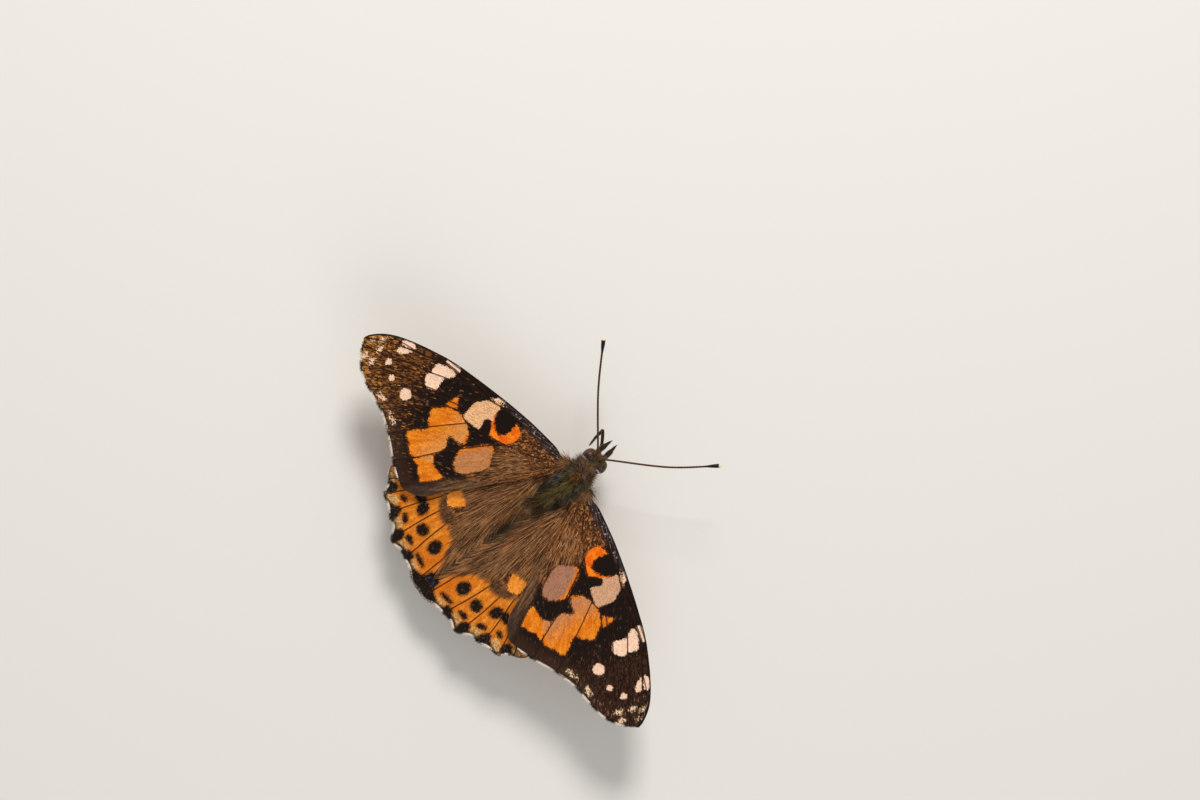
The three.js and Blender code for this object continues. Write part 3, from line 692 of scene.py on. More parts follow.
def field_of(points, patches):
    """How deep each point lies inside the nearest of the patches. Below zero it lies outside."""
    deepest = np.full(len(points), -FIELD_REACH)
    for patch in patches:
        outline = curve(patch, 0.4, closed=True)
        low, high = outline.min(axis=0) - FIELD_REACH, outline.max(axis=0) + FIELD_REACH
        near = ((points > low) & (points < high)).all(axis=1)
        if near.any():
            deepest[near] = np.maximum(deepest[near], depth_inside(points[near], outline))
    return np.clip(deepest, -FIELD_REACH, FIELD_REACH)


def vein_distance(points, veins):
    nearest = np.full(len(points), VEIN_REACH)
    for path in veins.values():
        nearest = np.minimum(nearest, line_distance(points, curve(path, VEIN_STEP)))
    return nearest


def camber(u):
    return -TIP_DROOP * np.maximum(0, u / WING_REACH) ** 2


def relief(points, veins, edge):
    """Height of the membrane over its middle plane: veins stand up, and panels sag between them."""
    ridge = VEIN_HEIGHT * np.exp(-(veins / VEIN_WIDTH) ** 2)
    sag = -SAG * (1 - np.exp(-((veins / SAG_WIDTH) ** 2)))
    waves = RIPPLE * np.sin(points[:, 0] * 1.7 + points[:, 1] * 1.1)
    return ridge + sag + waves * np.exp(-((edge / RIPPLE_REACH) ** 2))


print("a vein stands up by", VEIN_HEIGHT, "mm and the wing's tip droops by", TIP_DROOP)

# %% [markdown]
# One function makes both kinds of wing. A Solidify modifier gives the sheet its two sides, the
# lower of which takes the second material. It comes before the relief, so that both sides bend
# alike.

# %% The wing sheets
SHEET_THICKNESS = 0.09


def wing_sheet(name, outline, veins, fields):
    """A bent wing with thickness that carries all its distances."""
    sheet = flat_wing(name, outline)
    points = points_of(sheet.data)[:, :2]
    edge = line_distance(points, outline, closed=True)
    vein = vein_distance(points, veins)
    dark = vein_distance(points, {name: path for name, path in veins.items() if name != "fold"})
    own = {"u": points[:, 0], "v": points[:, 1], "edge": edge, "vein": dark}
    for field, values in {**own, **fields(points)}.items():
        carried(sheet.data, field, values)
    for _ in ("upper side", "lower side"):
        sheet.data.materials.append(None)
    modify(sheet, "SOLIDIFY", thickness=SHEET_THICKNESS, offset=0, material_offset=1)
    places = points_of(sheet.data)
    if len(places) != 2 * len(points):
        raise ValueError("the sheet's two sides differ")
    places[:, 2] += np.tile(relief(points, vein, edge), 2) + camber(places[:, 0])
    sheet.data.vertices.foreach_set("co", places.ravel())
    smooth(sheet, 60)
    return sheet


def fields_of(points, kinds, start=""):
    return {start + name: field_of(points, patches) for name, patches in kinds.items()}


def fore_fields(points):
    return {**fields_of(points, FORE_PATCHES), **fields_of(points, FORE_UNDER, "under_")}


def hind_fields(points):
    away = [np.hypot(*(points - (u, v)).T) / size for u, v, size in UNDER_EYESPOTS]
    under = {"under_eyespot": np.minimum(np.min(away, axis=0), 3),
             "under_blotch": field_of(points, HIND_UNDER_BLOTCHES)}
    return {**fields_of(points, HIND_PATCHES), **under}


forewing = wing_sheet("forewing", fore_outline, FORE_VEINS, fore_fields)
hindwing = wing_sheet("hindwing", hind_outline, HIND_VEINS, hind_fields)
print("forewing sheet:", len(forewing.data.vertices), "points")

# %% [markdown]
# Seen closely, a wing's colour is a mosaic of scales that lie in rows like roof tiles, each with
# one colour. Voronoi cells, stretched along the wing, stand for them: every cell shifts the
# distances by its own small random amount before they are cut, which makes the edges of the
# patches ragged one scale at a time, and every cell is a little lighter or darker than the next.

# %% Scales and layers of colour
SCALE_ROWS = (7.5, 11.0, 1.0)  # scales to a millimetre, along the wing and across it
TUFT_ROWS = (4.6, 6.6, 1.0)  # groups of like scales to a millimetre
WEAR_ROWS = (2.4, 7.6, 1.0)  # longer groups, for the streaky outer third
BLACK = (24, 14, 9)
WHITE = (242, 202, 174)
FORE_ROOT = (-3.0, -0.6)  # where a wing's streaks start
HIND_ROOT = (-2.0, -1.0)
LINE = (40, 19, 9)


def rays(finish, u, v, root, count=38):
    """Fine streaks that run out from the wing's root, as the rows of scales and hairs do."""
    turn = u.math("ARCTAN2", v - root[1], u - root[0])
    reach = ((u - root[0]) * (u - root[0]) + (v - root[1]) * (v - root[1])) ** 0.5
    return finish.noise(finish.vector(turn * count, reach * 0.45), 1.0, 3.0, 0.6)


class WingFinish(Finish):
    """A wing's side: layers of colour, cut from the distances that the sheet carries."""

    def __init__(self, name, ground, root):
        super().__init__(name, Specular_IOR_Level=0.08)
        self.numbers = [self.field(field) for field in ("u", "v", "vein", "edge")]
        u, v, *_ = self.numbers
        self.flat = self.vector(u, v)
        tiles = self.stretched(self.flat, SCALE_ROWS)
        self.scale_shade = self.axis(self.cells(tiles, 1.0, "Color"), 0)
        self.scale_edge = self.cells(tiles, 1.0, "Distance")
        self.tufts = self.cells(self.stretched(self.flat, TUFT_ROWS), 1.0, "Color")
        self.cloud = self.noise(self.flat, 0.9, 3.0, 0.6)
        self.streak = rays(self, u, v, root)
        coarse = self.noise(self.flat, 2.2, 3.0, 0.7) - 0.5
        fine = self.noise(self.flat, 6.5, 2.0, 0.7) - 0.5
        single = (self.scale_shade - 0.5) * 0.26
        self.ragged = single + coarse * 0.45 + fine * 0.3 + (self.streak - 0.5) * 0.45
        self.colour = ground

    def mask(self, field, soft, ragged=1.0, grow=0.0):
        """1 inside a colour's patches, with a ragged edge that is soft by so many millimetres."""
        depth = self.field(field) + self.ragged * ragged + grow
        return depth.step(-soft, soft)

    def strewn(self, share, channel=0, groups=None):
        """Single groups of scales, as many as the share says. Each channel picks other ones."""
        return (self.axis(groups or self.tufts, channel) + share - 1).step(-0.02, 0.02)

    def lay(self, share, colour):
        """Puts a layer of colour over what is there."""
        self.colour = self.mix(share, self.colour, colour)

    def done(self, shine=None):
        """Shades the colour scale by scale, and gives the scales a fine bump."""
        colour = self.shaded(self.colour, self.scale_shade * 0.5 + 0.65 + self.streak * 0.2)
        grain = self.scale_edge * -1 + self.streak * 2
        fine = self.bump(grain, distance=0.00004, strength=0.7)
        rough = 0.6 + self.scale_shade * 0.15
        if shine:
            rough = rough - shine * 0.28
        return self.feed(Base_Color=colour, Roughness=rough, Normal=fine)


def root_brown(finish, flat, streak):
    """The brown of the wing roots, which the long hair there shares."""
    cloud = finish.noise(flat, 0.45, 2.0, 0.6)
    brown = finish.mix(streak.step(0.4, 0.6), (58, 32, 14), (158, 98, 50))
    return finish.mix(cloud.step(0.46, 0.68) * 0.4, brown, (122, 88, 60))


print("scales to a square millimetre:", SCALE_ROWS[0] * SCALE_ROWS[1])

# %% [markdown]
# The forewing is black with an orange band, and cream and white spots towards its apex. The layers
# are laid as a painter would: first the ground and what is strewn over it, then the patches, and
# the dark veins and edges last. One finish serves both wings. A number that each wing carries
# says which side it is, because the left apex is worn and golden and the right one dark, and the
# right wing's band and cream are duller. These differences are partly wear and partly painted
# light, as the light falls on the two wings at different angles.

# %% The forewing's upper scales
def fore_upper():
    w = WingFinish("forewing upper scales", BLACK, FORE_ROOT)
    u, v, vein, edge = w.numbers
    # brown scales are strewn over the black, most of all in the outer third
    outer = (u + w.cloud * 6).step(20.5, 27.0)
    near = (1 - edge.step(0.6, 2.8)) * (u + v * 0.35).step(23.5, 27.0) * w.cloud.step(0.36, 0.56)
    # the left apex is worn and golden, and the right one fresh and dark. The golden tone is partly
    # wear and partly painted light on the left wing's bent tip; the same number makes the right
    # wing's rose and cream duller, as painted light for the other angle at which light falls on it
    left_wear_and_light = w.field("side").step(-0.5, 0.5)
    groups = w.cells(w.stretched(w.vector(u + v * 0.3, v - u * 0.3), WEAR_ROWS), 1.0, "Color")
    w.lay(outer * (left_wear_and_light * 0.4 + 0.25), (54, 30, 14))
    browns = w.mix(left_wear_and_light, (62, 37, 24), (112, 66, 28))
    w.lay(w.strewn(outer * 0.4 + 0.02, 0, groups), browns)
    golds = w.mix(left_wear_and_light, (112, 88, 74), (178, 120, 56))
    w.lay(w.strewn((near * 0.42 + outer * 0.05) * (left_wear_and_light * 0.75 + 0.25), 1, groups), golds)
    # a few grey groups of scales strewn everywhere: painted glints
    w.lay(w.strewn(0.006, 2), (100, 90, 90))
    # grey-brown towards the outer margin below the apex
    margin = (1 - edge.step(0.5, 2.6)) * v.step(2.0, 6.0)
    w.lay(margin * 0.5, (66, 44, 32))
    # the root, rustier at its rear
    w.lay(w.mask("root", 0.35, 1.4), w.layered(
        (62, 36, 18), (w.strewn(0.34), (124, 74, 36)), (w.strewn(0.13, 1), (168, 115, 68)),
        ((v + w.cloud * 3).step(2.2, 6.0) * 0.7, root_brown(w, w.flat, w.streak))))
    # orange, paler and rosier on the side towards the root
    lean = (v - 4).largest(0.0) * 0.45
    rosy = (1 - (u - lean + (w.cloud - 0.5) * 2).step(12.0, 16.6)) * (1 - v.step(8.6, 9.6))
    deep = (w.field("orange") + w.ragged * 0.4).step(0.1, 0.7)
    deep = deep.largest((v - u * 0.78 + w.ragged).step(-3.2, -2.7)).largest(u.step(12.3, 12.7))
    orange = w.mix(w.streak.step(0.4, 0.64), (212, 108, 10), (230, 136, 34))
    # the right wing's rose is duller: painted light, as light falls on that wing at another angle
    rose = w.mix(left_wear_and_light, w.mix(u.step(12.1, 12.7), (154, 112, 90), (184, 128, 88)),
                 w.mix(u.step(12.1, 12.7), (182, 122, 76), (212, 144, 78)))
    orange = w.mix(rosy * deep * 0.92, orange, rose)
    ring = (1 - u.step(10.4, 11.1)) * (1 - v.step(2.3, 2.9))
    orange = w.mix(ring, orange, w.mix(w.cloud.step(0.42, 0.6), (226, 96, 8), (242, 128, 22)))
    w.lay(w.mask("orange", 0.16, 1.0, 0.1) * 0.75, (120, 60, 18))
    w.lay(w.mask("orange", 0.06, 0.9, -0.02), orange)
    # the right wing's cream is darker: painted light, as light falls on that wing at another angle
    w.lay(w.mask("cream", 0.06, 0.8), w.layered(
        (231, 181, 133), (w.strewn(0.3), (214, 155, 108)), ((1 - left_wear_and_light) * 0.7, (188, 144, 116))))
    w.lay(w.mask("white", 0.06, 0.7, 0.02), WHITE)
    w.lay(w.mask("fleck", 0.12, 1.6, 0.02) * w.strewn(0.72, 1), (230, 194, 156))
    w.lay(w.mask("black", 0.07), BLACK)
    # veins cross the pale fields as thin dark lines
    w.lay((1 - vein.step(0.05, 0.12)) * 0.88, LINE)
    # the dark, glossy strip behind the leading edge has pale streaks along it, which are painted
    # sheen, and a few pale specks that are painted glints
    lines = w.noise(w.stretched(w.flat, (0.5, 6.0, 1.0)), 1.0, 3.0, 0.6)
    gloss = w.mask("gloss", 0.15, 0.6)
    w.lay(gloss * 0.92, w.layered(
        (34, 23, 20), (lines.step(0.46, 0.68), (108, 91, 89)), (w.strewn(0.04, 2), (140, 124, 126))))
    rear_streak = w.noise(w.stretched(w.vector(u - v, u + v), (2.6, 0.35, 1.0)), 1.0, 3.0, 0.6)
    w.lay(w.mask("rear", 0.35, 1.4) * 0.9, w.layered(
        (64, 41, 25), (rear_streak.step(0.35, 0.7), (134, 98, 66)),
        ((u + w.cloud * 2).step(12.0, 15.0) * 0.75, (48, 36, 33))))
    # the leading edge is a dark rod
    w.lay((1 - edge.step(0.1, 0.3)) * (1 - v.step(-1.0, -0.2)) * 0.9, (20, 13, 12))
    return w.done(gloss)


fore_upper_look = fore_upper()
print(fore_upper_look.name, len(fore_upper_look.node_tree.nodes), "nodes")

# %% [markdown]
# The hindwing is orange in fine streaks, with rows of black marks, pale ochre crescents along its
# margin and a brown inner part under long hair, with painted shadow along its inner margin. Its
# ground is the orange, and a rust halo under each black spot softens the step between the two.

# %% The hindwing's upper scales
def hind_upper():
    w = WingFinish("hindwing upper scales", (208, 114, 24), HIND_ROOT)
    u, v, vein, edge = w.numbers
    # orange in fine streaks, deeper at the rear
    w.lay(w.streak.step(0.42, 0.66) * 0.8, (228, 143, 50))
    w.lay((v - u * 0.3 + w.cloud * 3).step(15.5, 19.5) * 0.5, (198, 98, 12))
    w.lay((1 - w.streak.step(0.3, 0.4)) * 0.6, (160, 72, 12))
    pale_margin = 1 - (edge + w.ragged).step(0.5, 1.3)
    w.lay(pale_margin * u.step(5.5, 7.5) * 0.6, (206, 156, 92))
    ochre = w.mix(w.strewn(0.35, 1), (208, 163, 102), (150, 108, 66))
    w.lay(w.mask("cream", 0.15, 2.4, 0.06), ochre)
    w.lay((1 - vein.step(0.06, 0.13)) * 0.9, LINE)
    w.lay(w.mask("black", 0.3, 1.0, 0.12) * 0.6, (96, 46, 12))
    w.lay(w.mask("black", 0.08, 1.3, 0.05), w.mix(w.strewn(0.12), BLACK, (66, 46, 34)))
    w.lay(w.mask("blue", 0.1, 0.8, -0.08), (42, 56, 82))
    w.lay(w.mask("root", 0.3, 1.6), root_brown(w, w.flat, w.streak))
    # painted shadow along the inner margin, where the hair of both hindwings meets over the abdomen
    w.lay((1 - edge.step(0.2, 0.9)) * (1 - u.step(5.6, 6.6)) * 0.75, (34, 22, 13))
    shadow = w.mix(w.strewn(0.3), (66, 43, 27), (104, 72, 46))
    w.lay(w.mask("shadow", 0.3, 1.5) * 0.85, shadow)
    square = w.mix(w.streak.step(0.4, 0.66), (232, 136, 36), (246, 166, 78))
    w.lay(w.mask("orange", 0.07), square)
    dark_rim = 1 - (edge + w.ragged * 0.9).step(0.16, 0.42)
    w.lay(dark_rim * v.step(11, 13) * u.step(6, 7) * 0.75, (32, 22, 18))
    return w.done()


hind_upper_look = hind_upper()
print(hind_upper_look.name, len(hind_upper_look.node_tree.nodes), "nodes")

# %% [markdown]
# Below, the forewing repeats its upper pattern in rosier and paler tones, and the hindwing is
# marbled. Its eyespots are rings of colour round a point, so they are cut from one distance.

# %% The underside's scales
def fore_under():
    w = WingFinish("forewing underside scales", (226, 152, 108), FORE_ROOT)
    u, v, vein, edge = w.numbers
    w.lay((v + w.cloud * 2).step(6, 11) * 0.7, (236, 172, 96))
    w.lay((u + w.cloud * 2).step(19.5, 21) * 0.9, (86, 64, 48))
    apex = w.mix(w.cloud.step(0.4, 0.62), (150, 128, 92), (206, 190, 158))
    w.lay(w.mask("under_apex", 0.4, 2.0), apex)
    w.lay((1 - vein.step(0.12, 0.2)) * w.mask("under_apex", 0.3) * 0.7, (226, 214, 188))
    w.lay(w.mask("under_black", 0.06), (34, 24, 20))
    w.lay(w.mask("under_cream", 0.06, 0.8), (244, 232, 216))
    w.lay((1 - vein.step(0.05, 0.1)) * 0.5, (120, 84, 54))
    w.lay((1 - edge.step(0.15, 0.5)) * 0.5, (206, 186, 150))
    return w.done()


def hind_under():
    w = WingFinish("hindwing underside scales", (214, 198, 166), HIND_ROOT)
    u, v, vein, edge = w.numbers
    marbling = w.noise(w.flat, 0.62, 3.0, 0.55)
    w.lay((marbling + w.ragged * 0.15).step(0.5, 0.56), (150, 118, 78))
    w.lay((marbling + w.ragged * 0.15).step(0.57, 0.62), (108, 92, 60))
    w.lay(w.mask("under_blotch", 0.12, 1.2) * 0.85, (116, 84, 52))
    w.lay(w.noise(w.flat, 1.1).step(0.6, 0.64) * edge.step(3.0, 4.0), (240, 232, 212))
    rear = (u * 0.62 + v).step(20.0, 22.0)
    outer = (1 - (edge + w.ragged * 0.4).step(2.6, 3.2)) * rear
    w.lay(outer * 0.8, (190, 164, 122))
    w.lay((1 - vein.step(0.14, 0.22)) * 0.9, (236, 228, 208))
    spot = w.field("under_eyespot")
    w.lay(1 - spot.step(1.1, 1.25), (122, 96, 62))
    w.lay(1 - spot.step(0.82, 0.92), (220, 176, 84))
    w.lay(1 - spot.step(0.52, 0.6), (34, 30, 34))
    w.lay(1 - spot.step(0.2, 0.3), (112, 150, 186))
    rim = rear * u.step(6.2, 7.4)
    w.lay(edge.band(1.0, 0.22, 0.08) * rim * 0.8, (122, 132, 150))
    w.lay(edge.band(0.55, 0.12, 0.06) * rim * 0.7, (96, 74, 50))
    w.lay((1 - edge.step(0.25, 0.4)) * 0.8, (226, 208, 170))
    return w.done()


WING_LOOKS = {"forewing": (fore_upper_look, fore_under()), "hindwing": (hind_upper_look, hind_under())}
print("wing finishes:", [side.name for pair in WING_LOOKS.values() for side in pair])

# %% [markdown]
# The wings join the thorax on a rising, swept line. One matrix does all of it: lower the hindwing
# under the forewing, turn it back, tilt it up and move it to its root. The right wings are the
# left ones mirrored, so their faces are turned over again when the piece is finished.

# %% Wings in place
WING_ROOT = Vector((3.3, 0, 7.5))
SWEEP = math.radians(24.5)
DIHEDRAL = math.radians(8)
HIND_BELOW = 1.04
MAP_RIM = 0.1  # left free round the outline in the baking map, in mm
WING_SHEETS = {  # outline, veins, start of the streaks, how far below the root, slot
    "forewing": (fore_outline, FORE_VEINS, FORE_ROOT, 0.0, "wing_scales"),
    "hindwing": (hind_outline, HIND_VEINS, HIND_ROOT, HIND_BELOW, "wing_scales_hind"),
}


def wing_place(side, below):
    turned = Matrix.Rotation(-DIHEDRAL, 4, "Y") @ Matrix.Rotation(SWEEP, 4, "Z")
    mirror = Matrix.Diagonal((side, 1, 1, 1))
    return mirror @ Matrix.Translation(WING_ROOT) @ turned @ Matrix.Translation((0, 0, -below))


def copy_of(thing):
    made = thing.copy()
    made.data = thing.data.copy()
    bpy.context.collection.objects.link(made)
    return made


def wing_unwrap(outline):
    """Lays a flat wing's places in the upper half of the baking map."""
    low, high = outline.min(axis=0) - MAP_RIM, outline.max(axis=0) + MAP_RIM
    return lambda places: 0.01 + (places[:, :2] - low) / (high - low) * (0.98, 0.48)


def baking_map(thing, outline):
    """Lays the sheet flat in a map: the upper side in one half and the lower in the other."""
    mesh = thing.data
    layer = mesh.uv_layers.new(name="OFBake")
    flat = points_of(mesh)[numbers_of(mesh.loops, "vertex_index")]
    lower = np.repeat(numbers_of(mesh.polygons, "material_index"), numbers_of(mesh.polygons, "loop_total"))
    spread = wing_unwrap(outline)(flat)
    spread[:, 1] += 0.5 * lower
    layer.data.foreach_set("uv", spread.ravel().astype(np.float32))


def both_sides(thing, kind, part, looks):
    """Places what was made flat on the left and the right wing. The sheets stand for the nodes."""
    *_, below, slot = WING_SHEETS[kind]
    for name, side in SIDES.items():
        made = copy_of(thing)
        nodes = []
        if part == "scales":
            nodes = [f"{kind}_{name}"]
            carried(made.data, "side", np.full(len(made.data.vertices), side))
        place = TO_ROW @ wing_place(side, below)
        finish_piece(made, f"{kind}_{name}_{part}", nodes, looks, place)
    bpy.data.objects.remove(thing)


for kind, sheet in (("forewing", forewing), ("hindwing", hindwing)):
    baking_map(sheet, WING_SHEETS[kind][0])
    both_sides(sheet, kind, "scales", WING_LOOKS[kind])

# %% [markdown]
# The body is one soft form from head to tail, with no seams: a living insect's plates are hidden
# under hair. It starts as a few stretched spheres and one bent tube for the abdomen, which keeps
# clear of the hindwings. They are joined, and a voxel remesh fuses them into a single skin that
# lies a little inside the construction model, so that the coat has room.

# %% Balls and tubes
HEAD_PLACE = Matrix.Translation((0.38, -3.35, 6.2)) @ Matrix.Rotation(math.radians(8), 4, "Z")
COAT_DEPTH = 0.18


def tube(path, widths, sides=16, steps=6):
    """A round limb along a path. widths lists its radius at each point of the path."""
    deselect()
    bpy.ops.curve.primitive_nurbs_path_add()
    limb = bpy.context.object
    drawn = limb.data
    drawn.splines.clear()
    line = drawn.splines.new("POLY")
    places = [Vector(place) for place in path]
    fine, radii = [], []
    for number in range(len(places) - 1):
        before = places[max(number - 1, 0)]
        start, end = places[number], places[number + 1]
        after = places[min(number + 2, len(places) - 1)]
        for step in range(steps):
            t = step / steps
            fine.append(between(before, start, end, after, t))
            radii.append(widths[number] + (widths[number + 1] - widths[number]) * (3 * t * t - 2 * t**3))
    fine.append(places[-1])
    radii.append(widths[-1])
    line.points.add(len(fine) - 1)
    for point, place, radius in zip(line.points, fine, radii):
        point.co = (*place, 1)
        point.radius = radius
    drawn.dimensions = "3D"
    drawn.bevel_depth = 1
    drawn.bevel_resolution = max(0, sides // 4 - 1)
    drawn.use_fill_caps = True
    pick(limb)
    bpy.ops.object.convert(target="MESH")
    return bpy.context.object


def ball(place, half, frame_of=Matrix(), segments=32):
    """A sphere stretched to three half sizes."""
    deselect()
    bpy.ops.mesh.primitive_uv_sphere_add(segments=segments, ring_count=segments * 5 // 8, radius=1)
    made = bpy.context.object
    made.data.transform(frame_of @ Matrix.Translation(place) @ Matrix.Diagonal((*half, 1)))
    return made


def shrunk(half):
    return [size - COAT_DEPTH for size in half]


print("the skin lies", COAT_DEPTH, "mm inside the construction model")

# %% [markdown]
# The thorax and the head are each a few balls. The abdomen is a tube along a bent line whose width
# comes from a formula: it swells over the first third, tapers to the tip, and each of its rings
# grows a little towards its rear edge, as the real plates do.

# %% One skin from head to tail
THORAX_BALLS = [  # middle and half sizes
    ((0, 1.3, 6.0), (2.55, 3.1, 2.4)), ((0.1, -1.1, 6.1), (1.5, 1.1, 1.5)),
    ((0, 3.6, 5.8), (2.05, 1.4, 1.85)), ((2.3, -0.1, 7.35), (0.62, 0.95, 0.5)),
    ((-2.3, -0.1, 7.35), (0.62, 0.95, 0.5)),
]
HIPS = {"midleg": (1.2, 0.8, 3.95), "hindleg": (1.1, 3.2, 3.95)}
HIP_HALF = (0.62, 0.72, 0.95)
SKULL_BALLS = [((0, 0.1, 0), (1.15, 1.4, 1.3)), ((0, -0.75, -0.5), (0.75, 0.85, 0.8))]
FEELER_ROOT = (0.5, -0.75, 1.25)
ABDOMEN_START = Vector((0, 4.2, 5.8))
ABDOMEN_BEND = Vector((0, 9.9, 3.95))
ABDOMEN_END = Vector((0, 15.1, 1.8))
ABDOMEN_RINGS = 8
RING_SWELL = 0.09
FULLEST = 0.35  # how far along the abdomen it is widest
START_WIDTH, FULL_WIDTH, LEAST_WIDTH = 1.1, 1.75, 0.12


def abdomen():
    """A tapering tube whose rings swell a little towards their rear edges."""
    path, widths = [], []
    steps = ABDOMEN_RINGS * 4
    pull = ABDOMEN_BEND * 2 - (ABDOMEN_START + ABDOMEN_END) / 2
    for step in range(steps + 1):
        t = step / steps
        place = ABDOMEN_START * (1 - t) ** 2 + pull * (2 * t * (1 - t))
        path.append(place + ABDOMEN_END * t * t)
        swell = START_WIDTH + (FULL_WIDTH - START_WIDTH) * math.sin(t / FULLEST * math.pi / 2)
        if t >= FULLEST:
            swell = FULL_WIDTH * math.cos((t - FULLEST) / (1 - FULLEST) * 1.25)
        ring = RING_SWELL * ((t * ABDOMEN_RINGS) % 1 - 1 / 3)
        widths.append(max(swell + ring - COAT_DEPTH, LEAST_WIDTH))
    return tube(path, widths, sides=28, steps=1)


def body_skin():
    pieces = [ball(place, shrunk(half)) for place, half in THORAX_BALLS]
    for hip in HIPS.values():
        pieces += [ball(on_side(hip, side), shrunk(HIP_HALF), segments=20) for side in (1, -1)]
    pieces += [ball(place, shrunk(half), HEAD_PLACE) for place, half in SKULL_BALLS]
    for side in (1, -1):
        x, y, z = on_side(FEELER_ROOT, side)
        pieces.append(ball((x, y + 0.2, z - 0.3), (0.34, 0.36, 0.36), HEAD_PLACE, segments=16))
    neck = tube([(0.1, -1.6, 6.1), (0.3, -2.6, 6.2)], [1.1, 1.0], sides=20, steps=2)
    skin = join("body_skin", *pieces, neck, abdomen())
    modify(skin, "REMESH", mode="VOXEL", voxel_size=0.1)
    modify(skin, "SMOOTH", factor=0.6, iterations=5)
    smooth(skin, 80)
    return skin


skin = body_skin()
print("body skin:", len(skin.data.polygons), "faces")

# %% [markdown]
# The coat is thousands of hairs, but only one is modelled: a thin cone with three sides, a little
# fuller in its middle, and cut twice along its length so that it can bend.

# %% One hair
CUTS = (0.35, 0.7)  # where a hair can bend


def model_hair():
    """A cone with three sides and two cuts along its length, base at the origin, tip up."""
    deselect()
    bpy.ops.mesh.primitive_cone_add(vertices=3, radius1=1, radius2=0, depth=1, location=(0, 0, 0.5))
    hair = bpy.context.object
    apply_place(hair)
    for height in CUTS:
        pick(hair)
        bpy.ops.object.mode_set(mode="EDIT")
        bpy.ops.mesh.select_all(action="SELECT")
        bpy.ops.mesh.bisect(plane_co=(0, 0, height), plane_no=(0, 0, 1))
        bpy.ops.object.mode_set(mode="OBJECT")
    modify(hair, "TRIANGULATE")
    places = points_of(hair.data)
    belly = 1 + 1.1 * places[:, 2] * (1 - places[:, 2])  # fuller in its middle than a cone
    places[:, :2] *= belly[:, None]
    faces = numbers_of(hair.data.polygons, "vertices", 3).reshape(-1, 3)
    bpy.data.objects.remove(hair)
    return places, faces


HAIR_PLACES, HAIR_FACES = model_hair()
print("one hair:", len(HAIR_FACES), "triangles")

# %% [markdown]
# That hair's points are copied by arrays, which is quick for thousands. Each copy is turned to the
# lie of the coat, bent back towards the skin and given its own length, width and shade. All of
# them together are one mesh. Its UV map puts every hair on a small patch at its root's place on an
# unwrap of the skin, so that a baked picture of the coat takes the same markings as the skin.

# %% A coat of many hairs
PATCH = 0.003  # length of one hair in the map
ROOT_DEPTH = 0.05  # of a hair's root in the skin


def alike(vector, points):
    """The same vector for each of the points."""
    return np.tile(vector, (len(points), 1))


def coat(name, roots, normals, lie, length, width, lift, unwrap, curl=0.8, wander=0.25, **own):
    """One mesh of hairs. lie is the way each one points, lift how far it stands off, in radians."""
    count = len(roots)
    flat = lie + rng.normal(0, wander, (count, 3))
    flat = unit(flat - normals * (flat * normals).sum(axis=1)[:, None])
    side = np.cross(flat, normals)
    lift = np.broadcast_to(lift, count)[:, None] * rng.uniform(0.6, 1.4, (count, 1))
    start = flat * np.cos(lift) + normals * np.sin(lift)
    end = flat * np.cos(lift * (1 - curl)) + normals * np.sin(lift * (1 - curl))
    length = np.broadcast_to(length, count) * rng.uniform(0.65, 1.2, count)
    width = np.broadcast_to(width, count) * rng.uniform(0.75, 1.25, count)
    t = HAIR_PLACES[:, 2][None, :, None]
    spine = roots[:, None] - normals[:, None] * ROOT_DEPTH + length[:, None, None] * (
        start[:, None] * t + (end - start)[:, None] * t * t / 2)
    across = side[:, None] * HAIR_PLACES[None, :, :1] * width[:, None, None]
    thick = normals[:, None] * HAIR_PLACES[None, :, 1:2] * width[:, None, None] * 0.5
    places = (spine + across + thick).reshape(-1, 3)
    faces = (HAIR_FACES[None] + np.arange(count)[:, None, None] * len(HAIR_PLACES)).reshape(-1, 3)
    mesh = bpy.data.meshes.new(name)
    mesh.from_pydata(places, [], faces)
    carried(mesh, "along", np.tile(HAIR_PLACES[:, 2], count))
    own["shade"] = rng.random(count)
    own.update({"root_" + axis: values for axis, values in zip("xyz", roots.T)})
    for field, values in own.items():
        carried(mesh, field, np.repeat(values, len(HAIR_PLACES)))
    home = unwrap(roots)
    local = HAIR_PLACES[:, [0, 2]] * (0.35, 1.0) - (0.0, 0.5)
    spread = (home[:, None] + local[None] * PATCH).reshape(-1, 2)
    layer = mesh.uv_layers.new(name="OFBake")
    layer.data.foreach_set("uv", spread[faces.ravel()].ravel().astype(np.float32))
    hairs = bpy.data.objects.new(name, mesh)
    bpy.context.collection.objects.link(hairs)
    smooth(hairs, 90)
    return hairs


print("a hair's patch takes", PATCH, "of the map's height")

# %% [markdown]
# Hairs grow at random places on a skin, more thickly where a function of the place says so. Their
# finish is darker at the root, as painted shade deep in the coat, and gives each hair its own shade,
# because a coat in one flat colour looks like felt.

# %% Where hairs grow, and their finish
def scattered(thing, count, wanted):
    """Seeded places and normals on a mesh, more where wanted(places, normals) is higher."""
    mesh = thing.data
    mesh.calc_loop_triangles()
    triangles = points_of(mesh)[numbers_of(mesh.loop_triangles, "vertices", 3).reshape(-1, 3)]
    cross = np.cross(triangles[:, 1] - triangles[:, 0], triangles[:, 2] - triangles[:, 0])
    area = np.linalg.norm(cross, axis=1)
    weight = area * wanted(triangles.mean(axis=1), unit(cross))
    chosen = rng.choice(len(triangles), count, p=weight / weight.sum())
    a, b = np.sqrt(rng.random(count)), rng.random(count)
    shares = np.stack([1 - a, a * (1 - b), a * b], axis=1)
    return (triangles[chosen] * shares[:, :, None]).sum(axis=1), unit(cross[chosen])


